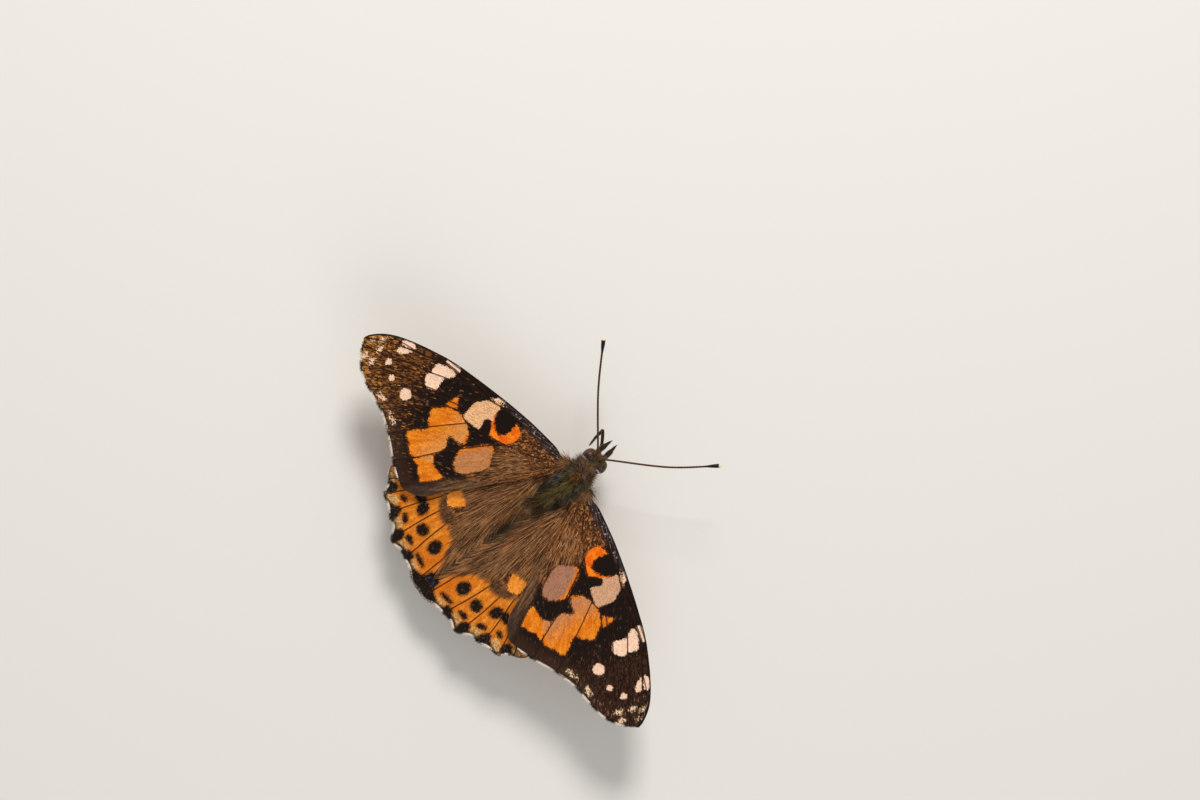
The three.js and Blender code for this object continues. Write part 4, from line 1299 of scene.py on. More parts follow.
def hair_finish(name, colour_of, dark_root=0.45):
    """Darker at the root, as painted shade deep in the coat, with its own shade for each hair."""
    h = Finish(name, Sheen_Weight=0.03, Specular_IOR_Level=0.12)
    colour = colour_of(h, *(h.field("root_" + axis) for axis in "xyz"))
    # the darker root is painted shade deep in the coat
    light = h.field("along").step(0.0, 0.7) * (1 - dark_root) + dark_root
    shade = h.field("shade")
    return h.feed(Base_Color=h.shaded(colour, light * (shade * 1.1 + 0.45)), Roughness=0.45 + shade * 0.25)


print("numbers on each hair:", ["along", "shade", "root_x", "root_y", "root_z"])

# %% [markdown]
# Long hair streams from the body over the wing roots and hides where they join the thorax. It is
# longest on the hindwings, whose inner halves it covers. Each hair starts on the membrane and
# points away from the wing's root. Beside the abdomen the hairs lean inwards over it.

# %% Hair over the wing roots
ROOT_HAIR = {"forewing": (2000, 1.5), "hindwing": (9000, 3.4)}  # how many, and the longest in mm
ROOT_HAIR_WIDTH = 0.036
TRIES = 9  # places tried for each hair, because many are turned down
UP = (0.0, 0.0, 1.0)
FAR = 99.0  # a gap that makes no hair lean
BARE = {"forewing": [], "hindwing": HIND_PATCHES["orange"] + HIND_PATCHES["shadow"]}
LEAN_REACH = 3.0  # how far from the hindwing's inner margin hairs begin to lean towards it
INWARDS = np.array((-0.45, 0.0, 0.12))
PARTING = 0.4  # sine of the angle at which they meet it


def on_the_wing(points, outline, veins):
    """Places on the upper side of a flat wing."""
    edge = line_distance(points, outline, closed=True)
    height = relief(points, vein_distance(points, veins), edge) + camber(points[:, 0]) + SHEET_THICKNESS / 2
    return np.column_stack([points, height])


def root_hair(kind):
    """Hairs on a flat wing's inner part, longer towards its rear. They stop short of its patches."""
    outline, veins, root, *_ = WING_SHEETS[kind]
    count, reach = ROOT_HAIR[kind]
    tried = rng.uniform(outline.min(axis=0), outline.max(axis=0), (count * TRIES, 2))
    patches = FORE_PATCHES if kind == "forewing" else HIND_PATCHES
    room = depth_inside(tried, curve(patches["root"][0], 0.4, closed=True))
    for patch in BARE[kind]:
        room = np.minimum(room, -0.1 - depth_inside(tried, curve(patch, 0.4, closed=True)))
    thin = rng.uniform(-0.2, 1.0, len(tried))
    rear = np.clip((tried[:, 1] - 1.0) / 3.0, 0.15, 1)
    kept = (room > thin) & (depth_inside(tried, outline) > 0.03) & (rng.random(len(tried)) < rear)
    points, room = tried[kept][:count], room[kept][:count]
    lie = np.column_stack([unit(points - root), np.zeros(len(points))])
    gap = np.full(len(points), FAR)
    if kind == "hindwing":
        gap = line_distance(points, curve(HIND_INNER))
    beside = np.clip(1 - gap / LEAN_REACH, 0, 1)
    lie += beside[:, None] * INWARDS
    length = reach * np.clip(0.45 + points[:, 1] / 9, 0.45, 1)
    length = np.minimum(length, room + 0.4 + 1.4 * np.clip((points[:, 1] - 14) / 3, 0, 1))
    length = np.minimum(length, (gap * 0.6 + 0.32) / PARTING)
    roots = on_the_wing(points, outline, veins)
    return coat(f"{kind}_root_hair", roots, alike(UP, points), lie, length, ROOT_HAIR_WIDTH, lift=0.2,
                unwrap=wing_unwrap(outline), curl=0.95, wander=0.09, beside=beside)


print("root hairs on one side:", sum(count for count, reach in ROOT_HAIR.values()), "at most")

# %% [markdown]
# The root hair takes the root's own brown from the function that coloured the membrane, with some
# hairs paler and some darker. Towards the abdomen some hairs are grey, partly their own tint and
# partly painted sheen. Beside the abdomen it darkens with painted shade: near the body, over the
# abdomen's base and most of all at the parting where the hairs of the two sides meet.

# %% The root hair's colours
def root_colour(root):
    """The function that colours a wing's root hair by the place of each root."""
    def colour(finish, u, v, _):
        flat = finish.vector(u, v)
        shade, beside = finish.field("shade"), finish.field("beside")
        # grey hairs towards the abdomen: partly their own tint, partly painted sheen
        grey = (u * -1.2 + v * 0.5).step(1.5, 4.5) * shade.step(0.35, 0.5)
        # painted shadow in the hollow over the abdomen's base, between the two wings' hair
        midline_shadow = v.band(10.8, 1.6, 0.8) * (beside + finish.noise(flat, 1.3) * 0.3).step(0.64, 0.86)
        return finish.layered(
            root_brown(finish, flat, rays(finish, u, v, root, count=26)),
            (grey * 0.55, (138, 114, 94)),
            (shade.step(0.64, 0.8) * 0.7, (190, 142, 96)),
            ((1 - shade.step(0.14, 0.34)) * 0.8, (30, 18, 10)),
            # darker olive beside the abdomen near the body: partly the hair's own olive, partly painted
            # shade
            ((1 - v.step(8.5, 12.5)) * beside.step(0.2, 0.7) * 0.6, (50, 42, 27)),
            (midline_shadow * 0.9, (17, 15, 14)),
            # the parting where the two sides' hairs meet, darkened as painted shade
            (beside.step(0.78, 0.9) * 0.8, (26, 17, 10)))
    return colour


for kind in ROOT_HAIR:
    look = hair_finish(f"{kind} root hair", root_colour(WING_SHEETS[kind][2]), dark_root=0.7)
    both_sides(root_hair(kind), kind, "root_hair", [look])

# %% [markdown]
# A fringe of long scales stands out from the outer margins. It is white between the veins and
# dark at their ends, which makes the margin look chequered. Each scale is a flat hair that starts
# a little inside the membrane's edge.

# %% Fringes
FRINGE_COUNT = 2200
FRINGE_HAIR = 0.46  # a little longer than the fringe, because it starts inside the membrane
FRINGE_WIDTH = 0.04


def fringe(kind, margin):
    outline, veins, *_ = WING_SHEETS[kind]
    line = drawn_in(margin, FRINGE)
    number = rng.uniform(1, len(line) - 2, FRINGE_COUNT)
    low, share = number.astype(int), (number % 1)[:, None]
    base = line[low] * (1 - share) + line[low + 1] * share
    inwards = unit(inward(line)[low] * (1 - share) + inward(line)[low + 1] * share)
    points = base + inwards * rng.uniform(0.02, 0.25, (FRINGE_COUNT, 1))
    end = np.clip(np.minimum(number, len(line) - 1 - number) / 6, 0.3, 1)
    vein = vein_distance(base, veins)
    patchy = vein + 0.5 * np.sin(number * 0.83) + rng.normal(0, 0.25, FRINGE_COUNT)
    lie = np.column_stack([-inwards, np.zeros(FRINGE_COUNT)])
    roots = on_the_wing(points, outline, veins) - (0, 0, SHEET_THICKNESS / 2)
    return coat(f"{kind}_fringe", roots, alike(UP, points), lie, FRINGE_HAIR * end, FRINGE_WIDTH,
                lift=0.1, unwrap=wing_unwrap(outline), curl=0.5, pale=(patchy > 0.75) * 1.0)


def fringe_colour(finish, u, v, _):
    tip = finish.field("pale") * finish.field("along").step(0.15, 0.45)
    return finish.mix(tip, (38, 25, 16), (228, 212, 198))


fringe_look = hair_finish("wing fringe", fringe_colour, dark_root=0.8)
for kind, margin in (("forewing", FORE_MARGIN), ("hindwing", HIND_MARGIN)):
    both_sides(fringe(kind, margin), kind, "fringe", [fringe_look])

# %% [markdown]
# The body's colours go by place. The back of the thorax is dark olive with painted blue-grey sheen,
# its shoulders and rear are tawny, the head is grey-brown, and the belly and breast are pale buff.
# The abdomen is brown with a paler ring at each joint. Skin and hair take the colour from one
# function, which reads the place on the body, so their markings can't differ. On a hair that is
# its root's place, which each point of the hair carries. The skin is then made darker, as painted
# shade under the coat.

# %% Body colours
def body_colour(finish, x, y, z):
    """x, y and z are millimetres in the body's frame."""
    place = finish.vector(x, y, z)
    patch = finish.noise(place, 0.75, 3.0, 0.6)
    locks = finish.noise(finish.vector(x * 4.2, y * 0.9, z * 3.0), 1.0, 3.0, 0.65)
    light = locks.step(0.38, 0.62)
    aside = x.math("ABSOLUTE", x) + (patch - 0.5) * 1.4
    specks = finish.noise(place, 3.4, 2.0, 0.5).step(0.54, 0.62)

    # lighter and darker locks: partly the hair's own tones, partly painted shade in the grooves between
    # locks and painted glints on them
    def lit(dark, pale):
        return finish.mix(light, dark, pale)

    # the back: olive, with rust in front, a blue-grey stripe of painted sheen on either side and
    # dark tufts
    rust = (1 - aside.step(0.4, 1.1)) * (1 - y.step(-0.4, 0.9))
    sheen_stripe = aside.band(1.35, 0.4, 0.3) * (1 - y.step(2.0, 3.2))
    tuft = aside.band(1.25, 0.45, 0.3) * y.band(3.5, 0.8, 0.5)
    back = finish.layered(
        lit((25, 21, 10), (116, 98, 52)),
        (rust * 0.75, lit((52, 30, 8), (128, 78, 26))),
        (sheen_stripe * 0.75, lit((24, 26, 26), (100, 102, 98))),
        (tuft * 0.85, lit((10, 10, 11), (44, 44, 44))))
    # tawny shoulders and collar, an olive-brown rear, and a dark rim round the rear that is painted
    # shadow, where it sinks between the wings' hair
    collar = 1 - (y + patch).step(-1.4, -0.2)
    rear = (y + patch).step(4.4, 5.6) * (1 - aside.step(1.0, 1.9))
    rim = y.step(3.9, 4.6) * aside.step(0.9, 1.3) * (1 - aside.step(2.2, 2.8))
    rim = rim.largest(y.step(4.95, 5.2)) * (1 - y.step(5.6, 6.4))
    # a dark neck, and a head that is rusty in places
    neck = (y + patch * 0.6).band(-1.3, 0.4, 0.3) * (1 - aside.step(0.7, 1.3))
    head = 1 - (y + patch * 0.6).step(-2.2, -1.6)
    crown = finish.layered(
        lit((30, 21, 12), (124, 98, 58)),
        (patch.step(0.5, 0.6) * 0.7, (118, 64, 36)),
        (specks * 0.5, (134, 120, 124)))
    # the abdomen: brown, paler at each joint
    ring = y.math("SINE", (y - 4.4) * (2 * math.pi * ABDOMEN_RINGS / 11.0)).step(0.55, 0.95)
    rings = finish.mix(ring * 0.5, lit((70, 46, 26), (134, 98, 60)), (168, 130, 88))
    # pale below, along a line that sinks with the abdomen
    level = z + y.largest(0.0) * 0.36 - y.step(4.0, 6.0) * 0.9 + patch * 0.8
    return finish.layered(
        back,
        (aside.step(1.7, 2.3).largest(collar), lit((80, 49, 27), (168, 122, 80))),
        (rear, lit((42, 29, 12), (108, 80, 42))),
        # painted shadow round the thorax's rear
        (rim * 0.8, (24, 18, 12)),
        (neck * 0.85, finish.mix(specks, (28, 20, 18), (116, 102, 110))),
        (head, crown),
        ((y + patch * 0.5).step(6.6, 7.8), rings),
        (1 - level.step(5.2, 6.6), (206, 186, 152)))


def skin_finish():
    s = Finish("body skin", Specular_IOR_Level=0.2)
    place = s.place()
    x, y, z = (s.axis(place, number) - value / MM for number, value in enumerate(body_origin))
    grain = s.noise(place, 9.0, 3.0, 0.7)
    # the skin is darker than the hair, by a factor that follows the grain: painted shade under the coat
    colour = s.shaded(body_colour(s, x, y, z), grain * 0.5 + 0.35)
    fine = s.bump(grain, distance=0.00006, strength=0.7)
    return s.feed(Base_Color=colour, Roughness=0.6 + grain * 0.3, Normal=fine)


skin_look = skin_finish()
coat_look = hair_finish("body hair", body_colour)
print("body finishes:", len(skin_look.node_tree.nodes), "and", len(coat_look.node_tree.nodes), "nodes")

# %% [markdown]
# The coat grows on the skin, but the eyes stay free of it. Whether a hair's root lies inside an
# eye is easiest to tell in the head's own frame, where the eyes are ovals in line with the axes.

# %% A coat that leaves the eyes free
EYE_AT = (0.98, -0.2, 0.05)
EYE_HALF = (0.93, 1.08, 1.1)


def body_unwrap(roots):
    """Round the body one way and along it the other."""
    around = np.arctan2(roots[:, 0], roots[:, 2] - 6.0 + np.maximum(0, roots[:, 1] - 4) * 0.35)
    return np.stack([0.5 + around / (2 * np.pi) * 0.96, (roots[:, 1] + 6) / 22], axis=1)


def seen_from_head(places):
    inward = np.array(HEAD_PLACE.inverted())
    return places @ inward[:3, :3].T + inward[:3, 3]


def off_the_eyes(places):
    local = seen_from_head(places)
    free = np.ones(len(places), bool)
    for side in (1, -1):
        gap = (local - on_side(EYE_AT, side)) / (np.array(EYE_HALF) * 1.02)
        free &= (gap**2).sum(axis=1) > 1
    return free


def furred(name, wanted, count, length, width, lift, lie):
    """A coat piece on the body skin. The sizes and the lie are functions of the places."""
    places, normals = scattered(skin, count, wanted)
    free = off_the_eyes(places)
    places, normals = places[free], normals[free]
    return coat(name, places, normals, lie(places, normals), length(places, normals), width,
                lift(places, normals), body_unwrap)


print("an eye's half sizes:", EYE_HALF)

# %% [markdown]
# The coat's hairs lie backwards along the body, but in front of the wing roots they spread
# outwards. They are longest at the thorax's sides and rear, where they reach over the wing roots.
# On the head they point forwards and out over the eyes' rims, and on the abdomen they are short
# and close.

# %% The body's coat
def backwards(places, normals):
    """Towards the tail, and outwards over the wing roots and in front of them."""
    x, y, _ = places.T
    front = np.clip(-y - 0.2, 0, 1)
    out = np.clip(x / 1.2, -1, 1) * (0.3 + 1.2 * front)
    return np.stack([out, 1 - 1.1 * front, np.full(len(places), -0.1)], axis=1)


def thorax_share(places, normals):
    x, y, z = places.T
    shoulder = (y < -0.2) & (np.abs(x) > 0.7) & (z > 5.4)
    return ((y > -2.3) & (y < 5.4)) * (1.0 + 2.0 * shoulder)


def thorax_length(places, normals):
    x, y, _ = places.T
    aside = np.clip((np.abs(x) - 1.2) / 1.2, 0, 1)
    rear = np.clip((y - 2.5) / 2.0, 0, 1)
    front = np.clip(-y - 0.2, 0, 1)
    collar = np.clip(np.abs(x) / 0.9, 0, 1) * front
    tail = np.clip(y - 3.6, 0, 1) * np.clip(normals[:, 2] * 2, 0, 1)
    return 0.95 + 0.95 * np.maximum(aside, rear) * (1 - front) + 0.95 * collar + tail


def head_share(places, normals):
    return (places[:, 1] <= -2.0) * (1.0 + 2.0 * np.clip(normals[:, 2], 0, 1))


def head_length(places, normals):
    return 0.5 + 0.45 * np.clip(normals[:, 2], 0, 1)


def head_lie(places, normals):
    """Forwards on the face, and outwards over the inner rims of the eyes on the crown."""
    out = np.clip(seen_from_head(places)[:, 0] / 0.4, -1, 1) * (0.2 + np.clip(normals[:, 2], 0, 1))
    return np.stack([out, np.full(len(places), -0.5), np.full(len(places), 0.35)], axis=1)


def abdomen_share(places, normals):
    return (places[:, 1] >= 5.2) * 1.0


def steady(value):
    return lambda places, normals: np.full(len(places), value)


coats = [
    furred("thorax_hair", thorax_share, count=9500, length=thorax_length, width=0.042,
           lift=steady(0.42), lie=backwards),
    furred("head_hair", head_share, count=3600, length=head_length, width=0.03,
           lift=steady(0.6), lie=head_lie),
    furred("abdomen_hair", abdomen_share, count=7000, length=steady(0.55), width=0.026,
           lift=steady(0.28), lie=backwards),
]
finish_piece(skin, "body_skin", ["thorax", "abdomen", "head"], [skin_look])
for hairs, slot in zip(coats, ("body_fur", "head_fur", "abdomen_fur")):
    finish_piece(hairs, hairs.name, [], [coat_look])

# %% [markdown]
# The eyes are domes of thousands of lenses. They are brown, darker in blotches, with a pale rim
# of scales behind. Their facets are too small to see one by one, so a cell pattern in the bump
# gives the surface its fine grain and the highlight its soft edge.

# %% Eyes
def eye_finish():
    e = Finish("compound eye", Specular_IOR_Level=0.3, Coat_Weight=0.1, Coat_Roughness=0.2)
    place = e.place()
    blotch = e.noise(place, 1.5, 2.0, 0.5)
    behind = e.field("behind") + (blotch - 0.5) * 0.35
    scales = e.noise(place, 7.0, 2.0, 0.6)
    colour = e.layered(
        (30, 17, 10),
        (blotch.step(0.42, 0.6), (84, 48, 26)),
        (behind.step(0.28, 0.4), (18, 12, 11)),
        (behind.band(0.64, 0.1, 0.06) * scales.step(0.36, 0.5), (206, 192, 204)))
    facets = e.cells(place, 16.0)
    grain = e.bump(facets * -1, distance=0.00002, strength=0.8)
    return e.feed(Base_Color=colour, Roughness=0.24 + facets * 0.3, Normal=grain)


eye_look = eye_finish()
for name, side in SIDES.items():
    eye = ball(on_side(EYE_AT, side), EYE_HALF, HEAD_PLACE, segments=64)
    local = seen_from_head(points_of(eye.data))
    carried(eye.data, "behind", (local[:, 1] - EYE_AT[1]) / EYE_HALF[1])
    smooth(eye, 80)
    finish_piece(eye, f"eye_{name}_lenses", [f"eye_{name}"], [eye_look])

# %% [markdown]
# A feeler is a thin jointed rod that swells into a club. Each of its forty rings is a shade
# thicker at its end, and the club is black with a cream tip. The rod is drawn as a path with a
# width at each point, so the rings come from a loop.

# %% Feelers
FEELER_RISE = (0.85, -1.35, 1.8)
FEELER_TIPS = {"left": (11.4, -11.9, 4.6), "right": (11.7, -11.8, 4.6)}
FEELER_BOW = {"left": 0.5, "right": -0.8}
FEELER_JOINTS = 40
FEELER_WIDTH = 0.14
CLUB_SWELL = 0.15  # what the club adds to the rod
ROOT_SWELL = 0.14  # what the first joint adds
RING_STEP = 0.012
CLUB_FROM = 0.865  # as a share of the length
TIP_FROM = 0.975


def feeler(name, side):
    places = (FEELER_ROOT, FEELER_RISE, FEELER_TIPS[name])
    root, rise, tip = (Vector(on_side(place, side)) for place in places)
    middle = (rise + tip) / 2 + Vector((FEELER_BOW[name], 0, 0))
    line = curve([root[:], rise[:], middle[:], tip[:]], step=0.05)
    path, widths = [], []
    steps = FEELER_JOINTS * 4
    for step in range(steps + 1):
        t = step / steps
        path.append(tuple(line[int(t * (len(line) - 1))]))
        club = max(0.0, (t - CLUB_FROM) / (1 - CLUB_FROM))
        swell = FEELER_WIDTH + CLUB_SWELL * math.sin(min(club * 1.25, 1) * math.pi / 2) ** 1.3
        scape = ROOT_SWELL * math.exp(-((t / 0.02) ** 2))
        end = math.sqrt(max(0.0, 1 - max(0.0, (t - TIP_FROM) / (1 - TIP_FROM)) ** 2))
        ring = RING_STEP * ((t * FEELER_JOINTS) % 1 - 0.5)
        widths.append(max(0.004, (swell + scape) * end + ring))
    rod = tube(path, widths, sides=12, steps=1)
    share = np.linalg.norm(points_of(rod.data) - np.array(root), axis=1) / (tip - root).length
    carried(rod.data, "along", share)
    rod.data.transform(HEAD_PLACE)
    smooth(rod, 60)
    return rod


def feeler_finish():
    f = Finish("feeler", Specular_IOR_Level=0.2)
    t = f.field("along")
    rings = t.math("SINE", t * (2 * math.pi * FEELER_JOINTS)).step(0.6, 0.95)
    colour = f.layered(
        (66, 34, 14),
        (rings * 0.3, (140, 96, 58)),
        (t.step(CLUB_FROM - 0.03, CLUB_FROM + 0.02), (20, 15, 13)),
        (t.step(0.968, 0.98), (236, 220, 196)))
    return f.feed(Base_Color=colour, Roughness=0.4 + rings * 0.2)


feeler_look = feeler_finish()
for name, side in SIDES.items():
    finish_piece(feeler(name, side), f"antenna_{name}_rod", [f"antenna_{name}"], [feeler_look])

# %% [markdown]
# The two palps stand up before the face like a short beak, one each side of the tongue. Each is
# a tapering limb thick with scales and hair and ends in a thin dark point.

# %% Palps
PALP_PATH = [(0.5, -0.95, -0.6), (0.6, -1.6, -0.4), (0.58, -2.3, -0.05), (0.5, -3.05, 0.35),
             (0.42, -3.75, 0.78)]
PALP_WIDTHS = [0.22, 0.34, 0.36, 0.2, 0.03]
PALP_HAIRS = 900
PALP_HAIR_WIDTH = 0.022
PALP_LIE = (0, -0.85, 0.5)  # forwards and up


def palp_colour(finish, x, y, z):
    grain = finish.noise(finish.vector(x, y, z), 3.0, 2.0, 0.6)
    upper = finish.mix(grain, (40, 27, 18), (112, 84, 58))
    return finish.mix((z + grain * 0.4).step(6.5, 5.9), upper, (206, 186, 156))


def palp_unwrap(roots):
    return np.stack([0.5 + roots[:, 0] / 8, (roots[:, 1] + 8) / 8], axis=1) * 0.9 + 0.05


def horn_finish():
    h = Finish("dark horn", Specular_IOR_Level=0.25)
    grain = h.noise(h.place(), 5.0, 3.0, 0.6)
    colour = h.mix(grain, (26, 16, 12), (62, 38, 24))
    return h.feed(Base_Color=colour, Roughness=0.3 + grain * 0.25)


palp_look = hair_finish("palp hair", palp_colour)
horn_look = horn_finish()
for name, side in SIDES.items():
    core = tube([on_side(place, side) for place in PALP_PATH], PALP_WIDTHS)
    core.data.transform(HEAD_PLACE)
    smooth(core, 70)
    places, normals = scattered(core, PALP_HAIRS, steady(1.0))
    reach = 0.25 + 0.3 * np.clip((places[:, 1] + 6.6) / 2, 0, 1)
    hairs = coat(f"palp_{name}_hair", places, normals, alike(PALP_LIE, places), reach, PALP_HAIR_WIDTH,
                 lift=0.35, unwrap=palp_unwrap)
    finish_piece(core, f"palp_{name}_core", [f"palp_{name}"], [horn_look])
    finish_piece(hairs, hairs.name, [], [palp_look])

# %% [markdown]
# The tongue is out, as when the butterfly drinks: it leaves the mouth forwards, bends sharply at
# a knee and runs down and back between the legs. The real one is two halves hooked together. The
# groove between them is too fine to see, so one smooth dark tube stands for both. It replaces two
# solids of the construction model, which meet at the knee.

# %% The tongue
TONGUE_PATH = [(0.05, -1.0, -1.1), (0.35, -1.7, -1.25), (1.0, -2.7, -1.25), (1.8, -3.55, -1.05),
               (2.12, -3.82, -1.12), (2.1, -3.6, -1.6), (1.98, -2.75, -2.9), (1.8, -2.15, -4.1),
               (1.6, -1.6, -5.5)]
TONGUE_WIDTHS = [0.23, 0.23, 0.22, 0.23, 0.25, 0.23, 0.2, 0.17, 0.1]
tongue = tube(TONGUE_PATH, TONGUE_WIDTHS, steps=10)
tongue.data.transform(HEAD_PLACE)
smooth(tongue, 60)
finish_piece(tongue, "proboscis_tube", ["proboscis_base", "proboscis_tip"], [horn_look])

# %% [markdown]
# The legs are pale brown under buff hairs. Their finishes are kept plain, because the legs are
# thin and mostly in the wings' shade.

# %% Leg finishes
def leg_colour(finish, x, y, z):
    grain = finish.noise(finish.vector(x, y, z), 2.5, 2.0, 0.6)
    return finish.mix(grain.step(0.35, 0.65), (150, 118, 80), (206, 178, 138))


def leg_unwrap(roots):
    return np.stack([(roots[:, 0] + 14) / 28, (roots[:, 1] + 6) / 24], axis=1) * 0.9 + 0.05


leg_look = hair_finish("leg scales", leg_colour, dark_root=0.6)


def leg_core_finish():
    s = Finish("leg")
    grain = s.noise(s.place(), 4.0, 3.0, 0.6)
    colour = s.mix(grain.step(0.35, 0.7), (112, 78, 48), (186, 150, 106))
    fine = s.bump(grain, distance=0.00003, strength=0.6)
    return s.feed(Base_Color=colour, Roughness=0.45 + grain * 0.3, Normal=fine)


leg_core_look = leg_core_finish()
print("leg finishes:", leg_look.name, "and", leg_core_look.name)

# %% [markdown]
# A walking leg is a stout hairy thigh, a thin shin with spines and a foot of five short joints
# that ends in claws. It is drawn from joint to joint of the construction model's legs, so it
# stands on the floor where their feet do.

# %% A walking leg
LEGS = {  # knee, ankle and toe
    "midleg": [(5.1, 1.0, 5.3), (8.0, 2.0, 0.75), (11.0, 3.9, 0.26)],
    "hindleg": [(4.3, 7.0, 5.0), (6.6, 11.3, 0.75), (8.7, 15.0, 0.26)],
}
FOOT_HEIGHT = 0.2
FOOT_JOINTS = 5
THORNS = 14
THORN_LENGTH = 0.32
THORN_TURN = 2.4  # radians


def thorns_on(start, end):
    """Thin thorns that stand out from a shin, each turned on from the last."""
    made = []
    along = (end - start).normalized()
    across = along.orthogonal().normalized()
    for number in range(THORNS):
        place = start.lerp(end, 0.15 + 0.8 * number / THORNS)
        out = (Matrix.Rotation(number * THORN_TURN, 3, along) @ across) * 0.8 + along * 0.6
        tip = place + out.normalized() * THORN_LENGTH
        tip.z = max(tip.z, 0.03)
        made.append(tube([place, tip], [0.045, 0.008], sides=4, steps=1))
    return made


def walking_leg(kind, side):
    hip, knee, ankle, toe = (Vector(on_side(place, side)) for place in (HIPS[kind], *LEGS[kind]))
    middle = hip.lerp(knee, 0.4) + Vector((0, 0, 0.12))
    thigh = tube([hip, middle, knee], [0.24, 0.36, 0.2], sides=16, steps=8)
    calf = knee.lerp(ankle, 0.5) + Vector((side * 0.12, 0, 0))
    shin = tube([knee, calf, ankle], [0.18, 0.2, 0.15], sides=12, steps=8)
    heel = Vector((ankle.x, ankle.y, FOOT_HEIGHT)).lerp(toe, 0.16)
    path, widths = [ankle, heel], [0.15, 0.13]
    for number in range(1, FOOT_JOINTS + 1):
        joint = heel.lerp(Vector((toe.x, toe.y, FOOT_HEIGHT)), number / FOOT_JOINTS)
        path += [heel.lerp(joint, (number - 0.25) / number), joint]
        widths += [0.17, 0.11]
    foot = tube(path, widths, sides=12, steps=2)
    claws = []
    for turn in (-0.4, 0.4):
        out = Matrix.Rotation(turn, 3, "Z") @ (toe - heel).normalized()
        base = path[-1]
        hook = [base, base + out * 0.25, base + out * 0.38 - Vector((0, 0, 0.14))]
        claws.append(tube(hook, [0.06, 0.05, 0.01], sides=6, steps=3))
    return thigh, shin, foot, claws + thorns_on(knee, ankle)


print("thorns on a shin:", THORNS)

# %% [markdown]
# The limbs of a leg share one finish, so they are joined, and its hairs are a second piece. The
# two front legs are small brushes folded under the breast: one short limb each, with longer hair.

# %% All the legs
BRUSH_PATH = [(0.8, -0.7, 4.2), (1.2, -2.3, 3.7), (1.05, -3.6, 4.0)]
LEG_HAIR_WIDTH = 0.03
BARE_BELOW = 0.12  # no hairs where a leg rests on the floor


def leg_hairs(name, core, count, reach, lie):
    """Hairs on a limb, but none where it rests on the floor."""
    places, normals = scattered(core, count, steady(1.0))
    keep = places[:, 2] > BARE_BELOW
    places, normals = places[keep], normals[keep]
    return coat(name, places, normals, alike(lie, places), reach, LEG_HAIR_WIDTH, lift=0.25,
                unwrap=leg_unwrap)


for name, side in SIDES.items():
    for kind in LEGS:
        thigh, shin, foot, thorns = walking_leg(kind, side)
        down = (side * 0.5, 0.4 if kind == "hindleg" else 0.1, -0.4)
        hairs = leg_hairs(f"{kind}_{name}_hair", thigh, 700, 0.4, (side * 0.8, 0.5, 0.1))
        shin_hairs = leg_hairs(f"{kind}_{name}_shin_hair", shin, 300, 0.25, down)
        core = join(f"{kind}_{name}_limbs", thigh, shin, foot, *thorns)
        smooth(core, 60)
        nodes = [f"{kind}_{name}_{part}" for part in ("femur", "tibia", "tarsus")]
        finish_piece(core, core.name, nodes, [leg_core_look])
        hairs = join(f"{kind}_{name}_hair", hairs, shin_hairs)
        finish_piece(hairs, hairs.name, [], [leg_look])
    brush = tube([on_side(place, side) for place in BRUSH_PATH], [0.22, 0.26, 0.12], sides=12, steps=8)
    hairs = leg_hairs(f"foreleg_{name}_hair", brush, 700, 0.5, (0, -0.9, -0.1))
    smooth(brush, 60)
    finish_piece(brush, f"foreleg_{name}_limb", [f"foreleg_{name}"], [leg_core_look])
    finish_piece(hairs, hairs.name, [], [leg_look])

# %% [markdown]
# The display: a plain pale floor, and a camera that looks down on the animal almost upright, from
# a little behind its left shoulder, as the photograph does, through a long lens. Its turn about
# its own axis and the point it looks at were solved from the wings' outlines.

# %% Floor and camera
CAMERA_ANGLES = (153.1, 83.7, 81.8)  # azimuth, elevation and roll in degrees
CAMERA_DISTANCE = 440.5
CAMERA_TARGET = Vector((6.7, -13.2, 8.0))
LENS = 100

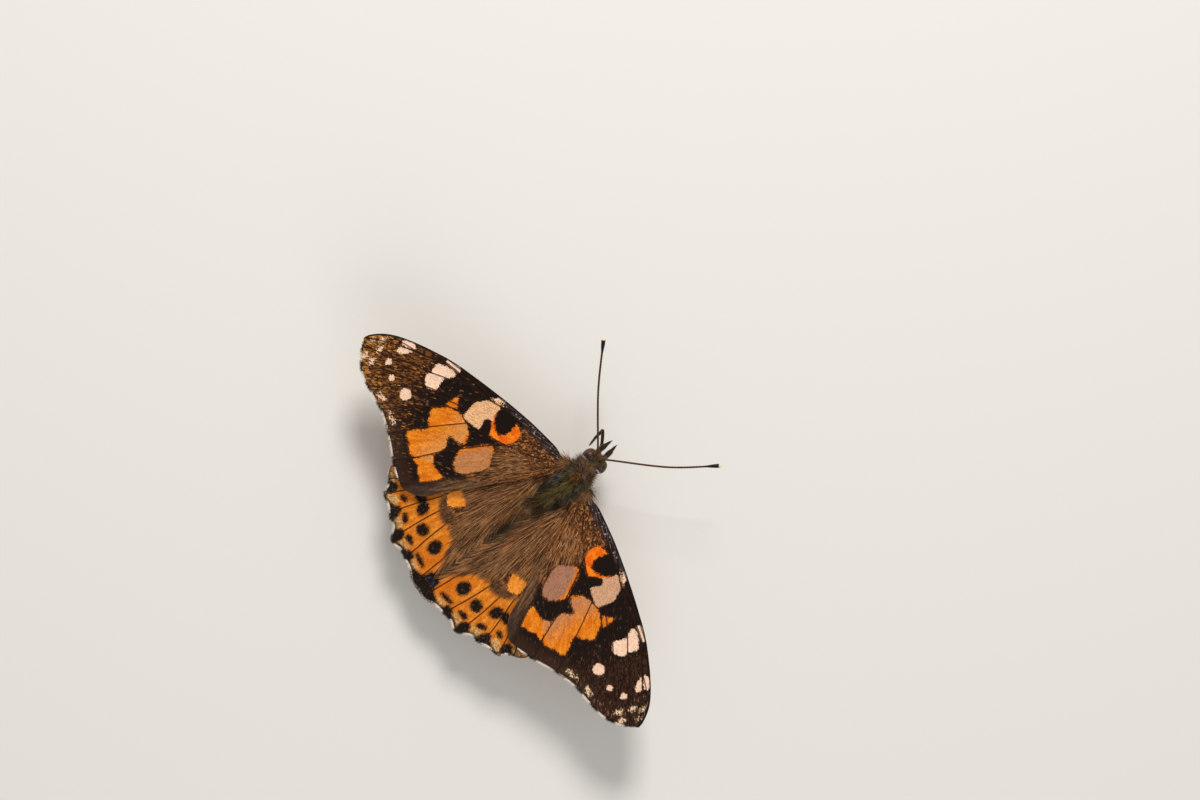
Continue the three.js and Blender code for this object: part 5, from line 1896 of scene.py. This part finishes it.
deselect()
bpy.ops.mesh.primitive_plane_add(size=4)
floor = bpy.context.object
floor.name = "floor"
paper = Finish("pale floor", Roughness=0.9)
paper.shader.inputs["Base Color"].default_value = tone(226, 224, 220)
floor.data.materials.append(paper.material)

azimuth, elevation, roll = (math.radians(angle) for angle in CAMERA_ANGLES)
level = Vector((math.sin(azimuth), -math.cos(azimuth), 0))
back = level * math.cos(elevation) + Vector((0, 0, math.sin(elevation)))
upright = level * -math.sin(elevation) + Vector((0, 0, math.cos(elevation)))
sideways = upright.cross(back)
right = sideways * math.cos(roll) + upright * math.sin(roll)
up = back.cross(right)
stand = (CAMERA_TARGET + back * CAMERA_DISTANCE) * MM
bpy.ops.object.camera_add(location=stand)
camera = bpy.context.object
camera.matrix_world = Matrix.Translation(stand) @ Matrix((right, up, back)).transposed().to_4x4()
camera.data.lens = LENS
camera.data.sensor_width = 36
camera.data.clip_start = 0.01
bpy.context.scene.camera = camera
print("camera at", [round(value, 3) for value in camera.location])

# %% [markdown]
# Soft studio light: a broad key from the head's left, a weaker fill from the other side and a
# bright, even surround. Small lamps would draw hard shadows under the wings. The standard view
# shows each colour as it was given, which keeps the orange as strong as in daylight.

# %% Light
def softbox(name, place, size, power, colour):
    bpy.ops.object.light_add(type="AREA", location=place)
    lamp = bpy.context.object
    lamp.name = name
    lamp.data.size = size
    lamp.data.energy = power
    lamp.data.color = colour
    lamp.rotation_euler = (Vector((0, 0, 0.005)) - Vector(place)).to_track_quat("-Z", "Y").to_euler()


softbox("key", (0.28, -0.24, 0.4), size=0.16, power=2.1, colour=(1, 0.97, 0.92))
softbox("fill", (-0.35, 0.2, 0.3), size=0.4, power=0.7, colour=(0.97, 0.98, 1))
world = bpy.data.worlds.new("surround")
bpy.context.scene.world = world
world.use_nodes = True
surround = world.node_tree.nodes["Background"].inputs
surround["Color"].default_value = (1, 0.98, 0.95, 1)
surround["Strength"].default_value = 0.42
bpy.context.scene.view_settings.view_transform = "Standard"
print("lamps:", [lamp.name for lamp in bpy.data.lights])

# %% [markdown]
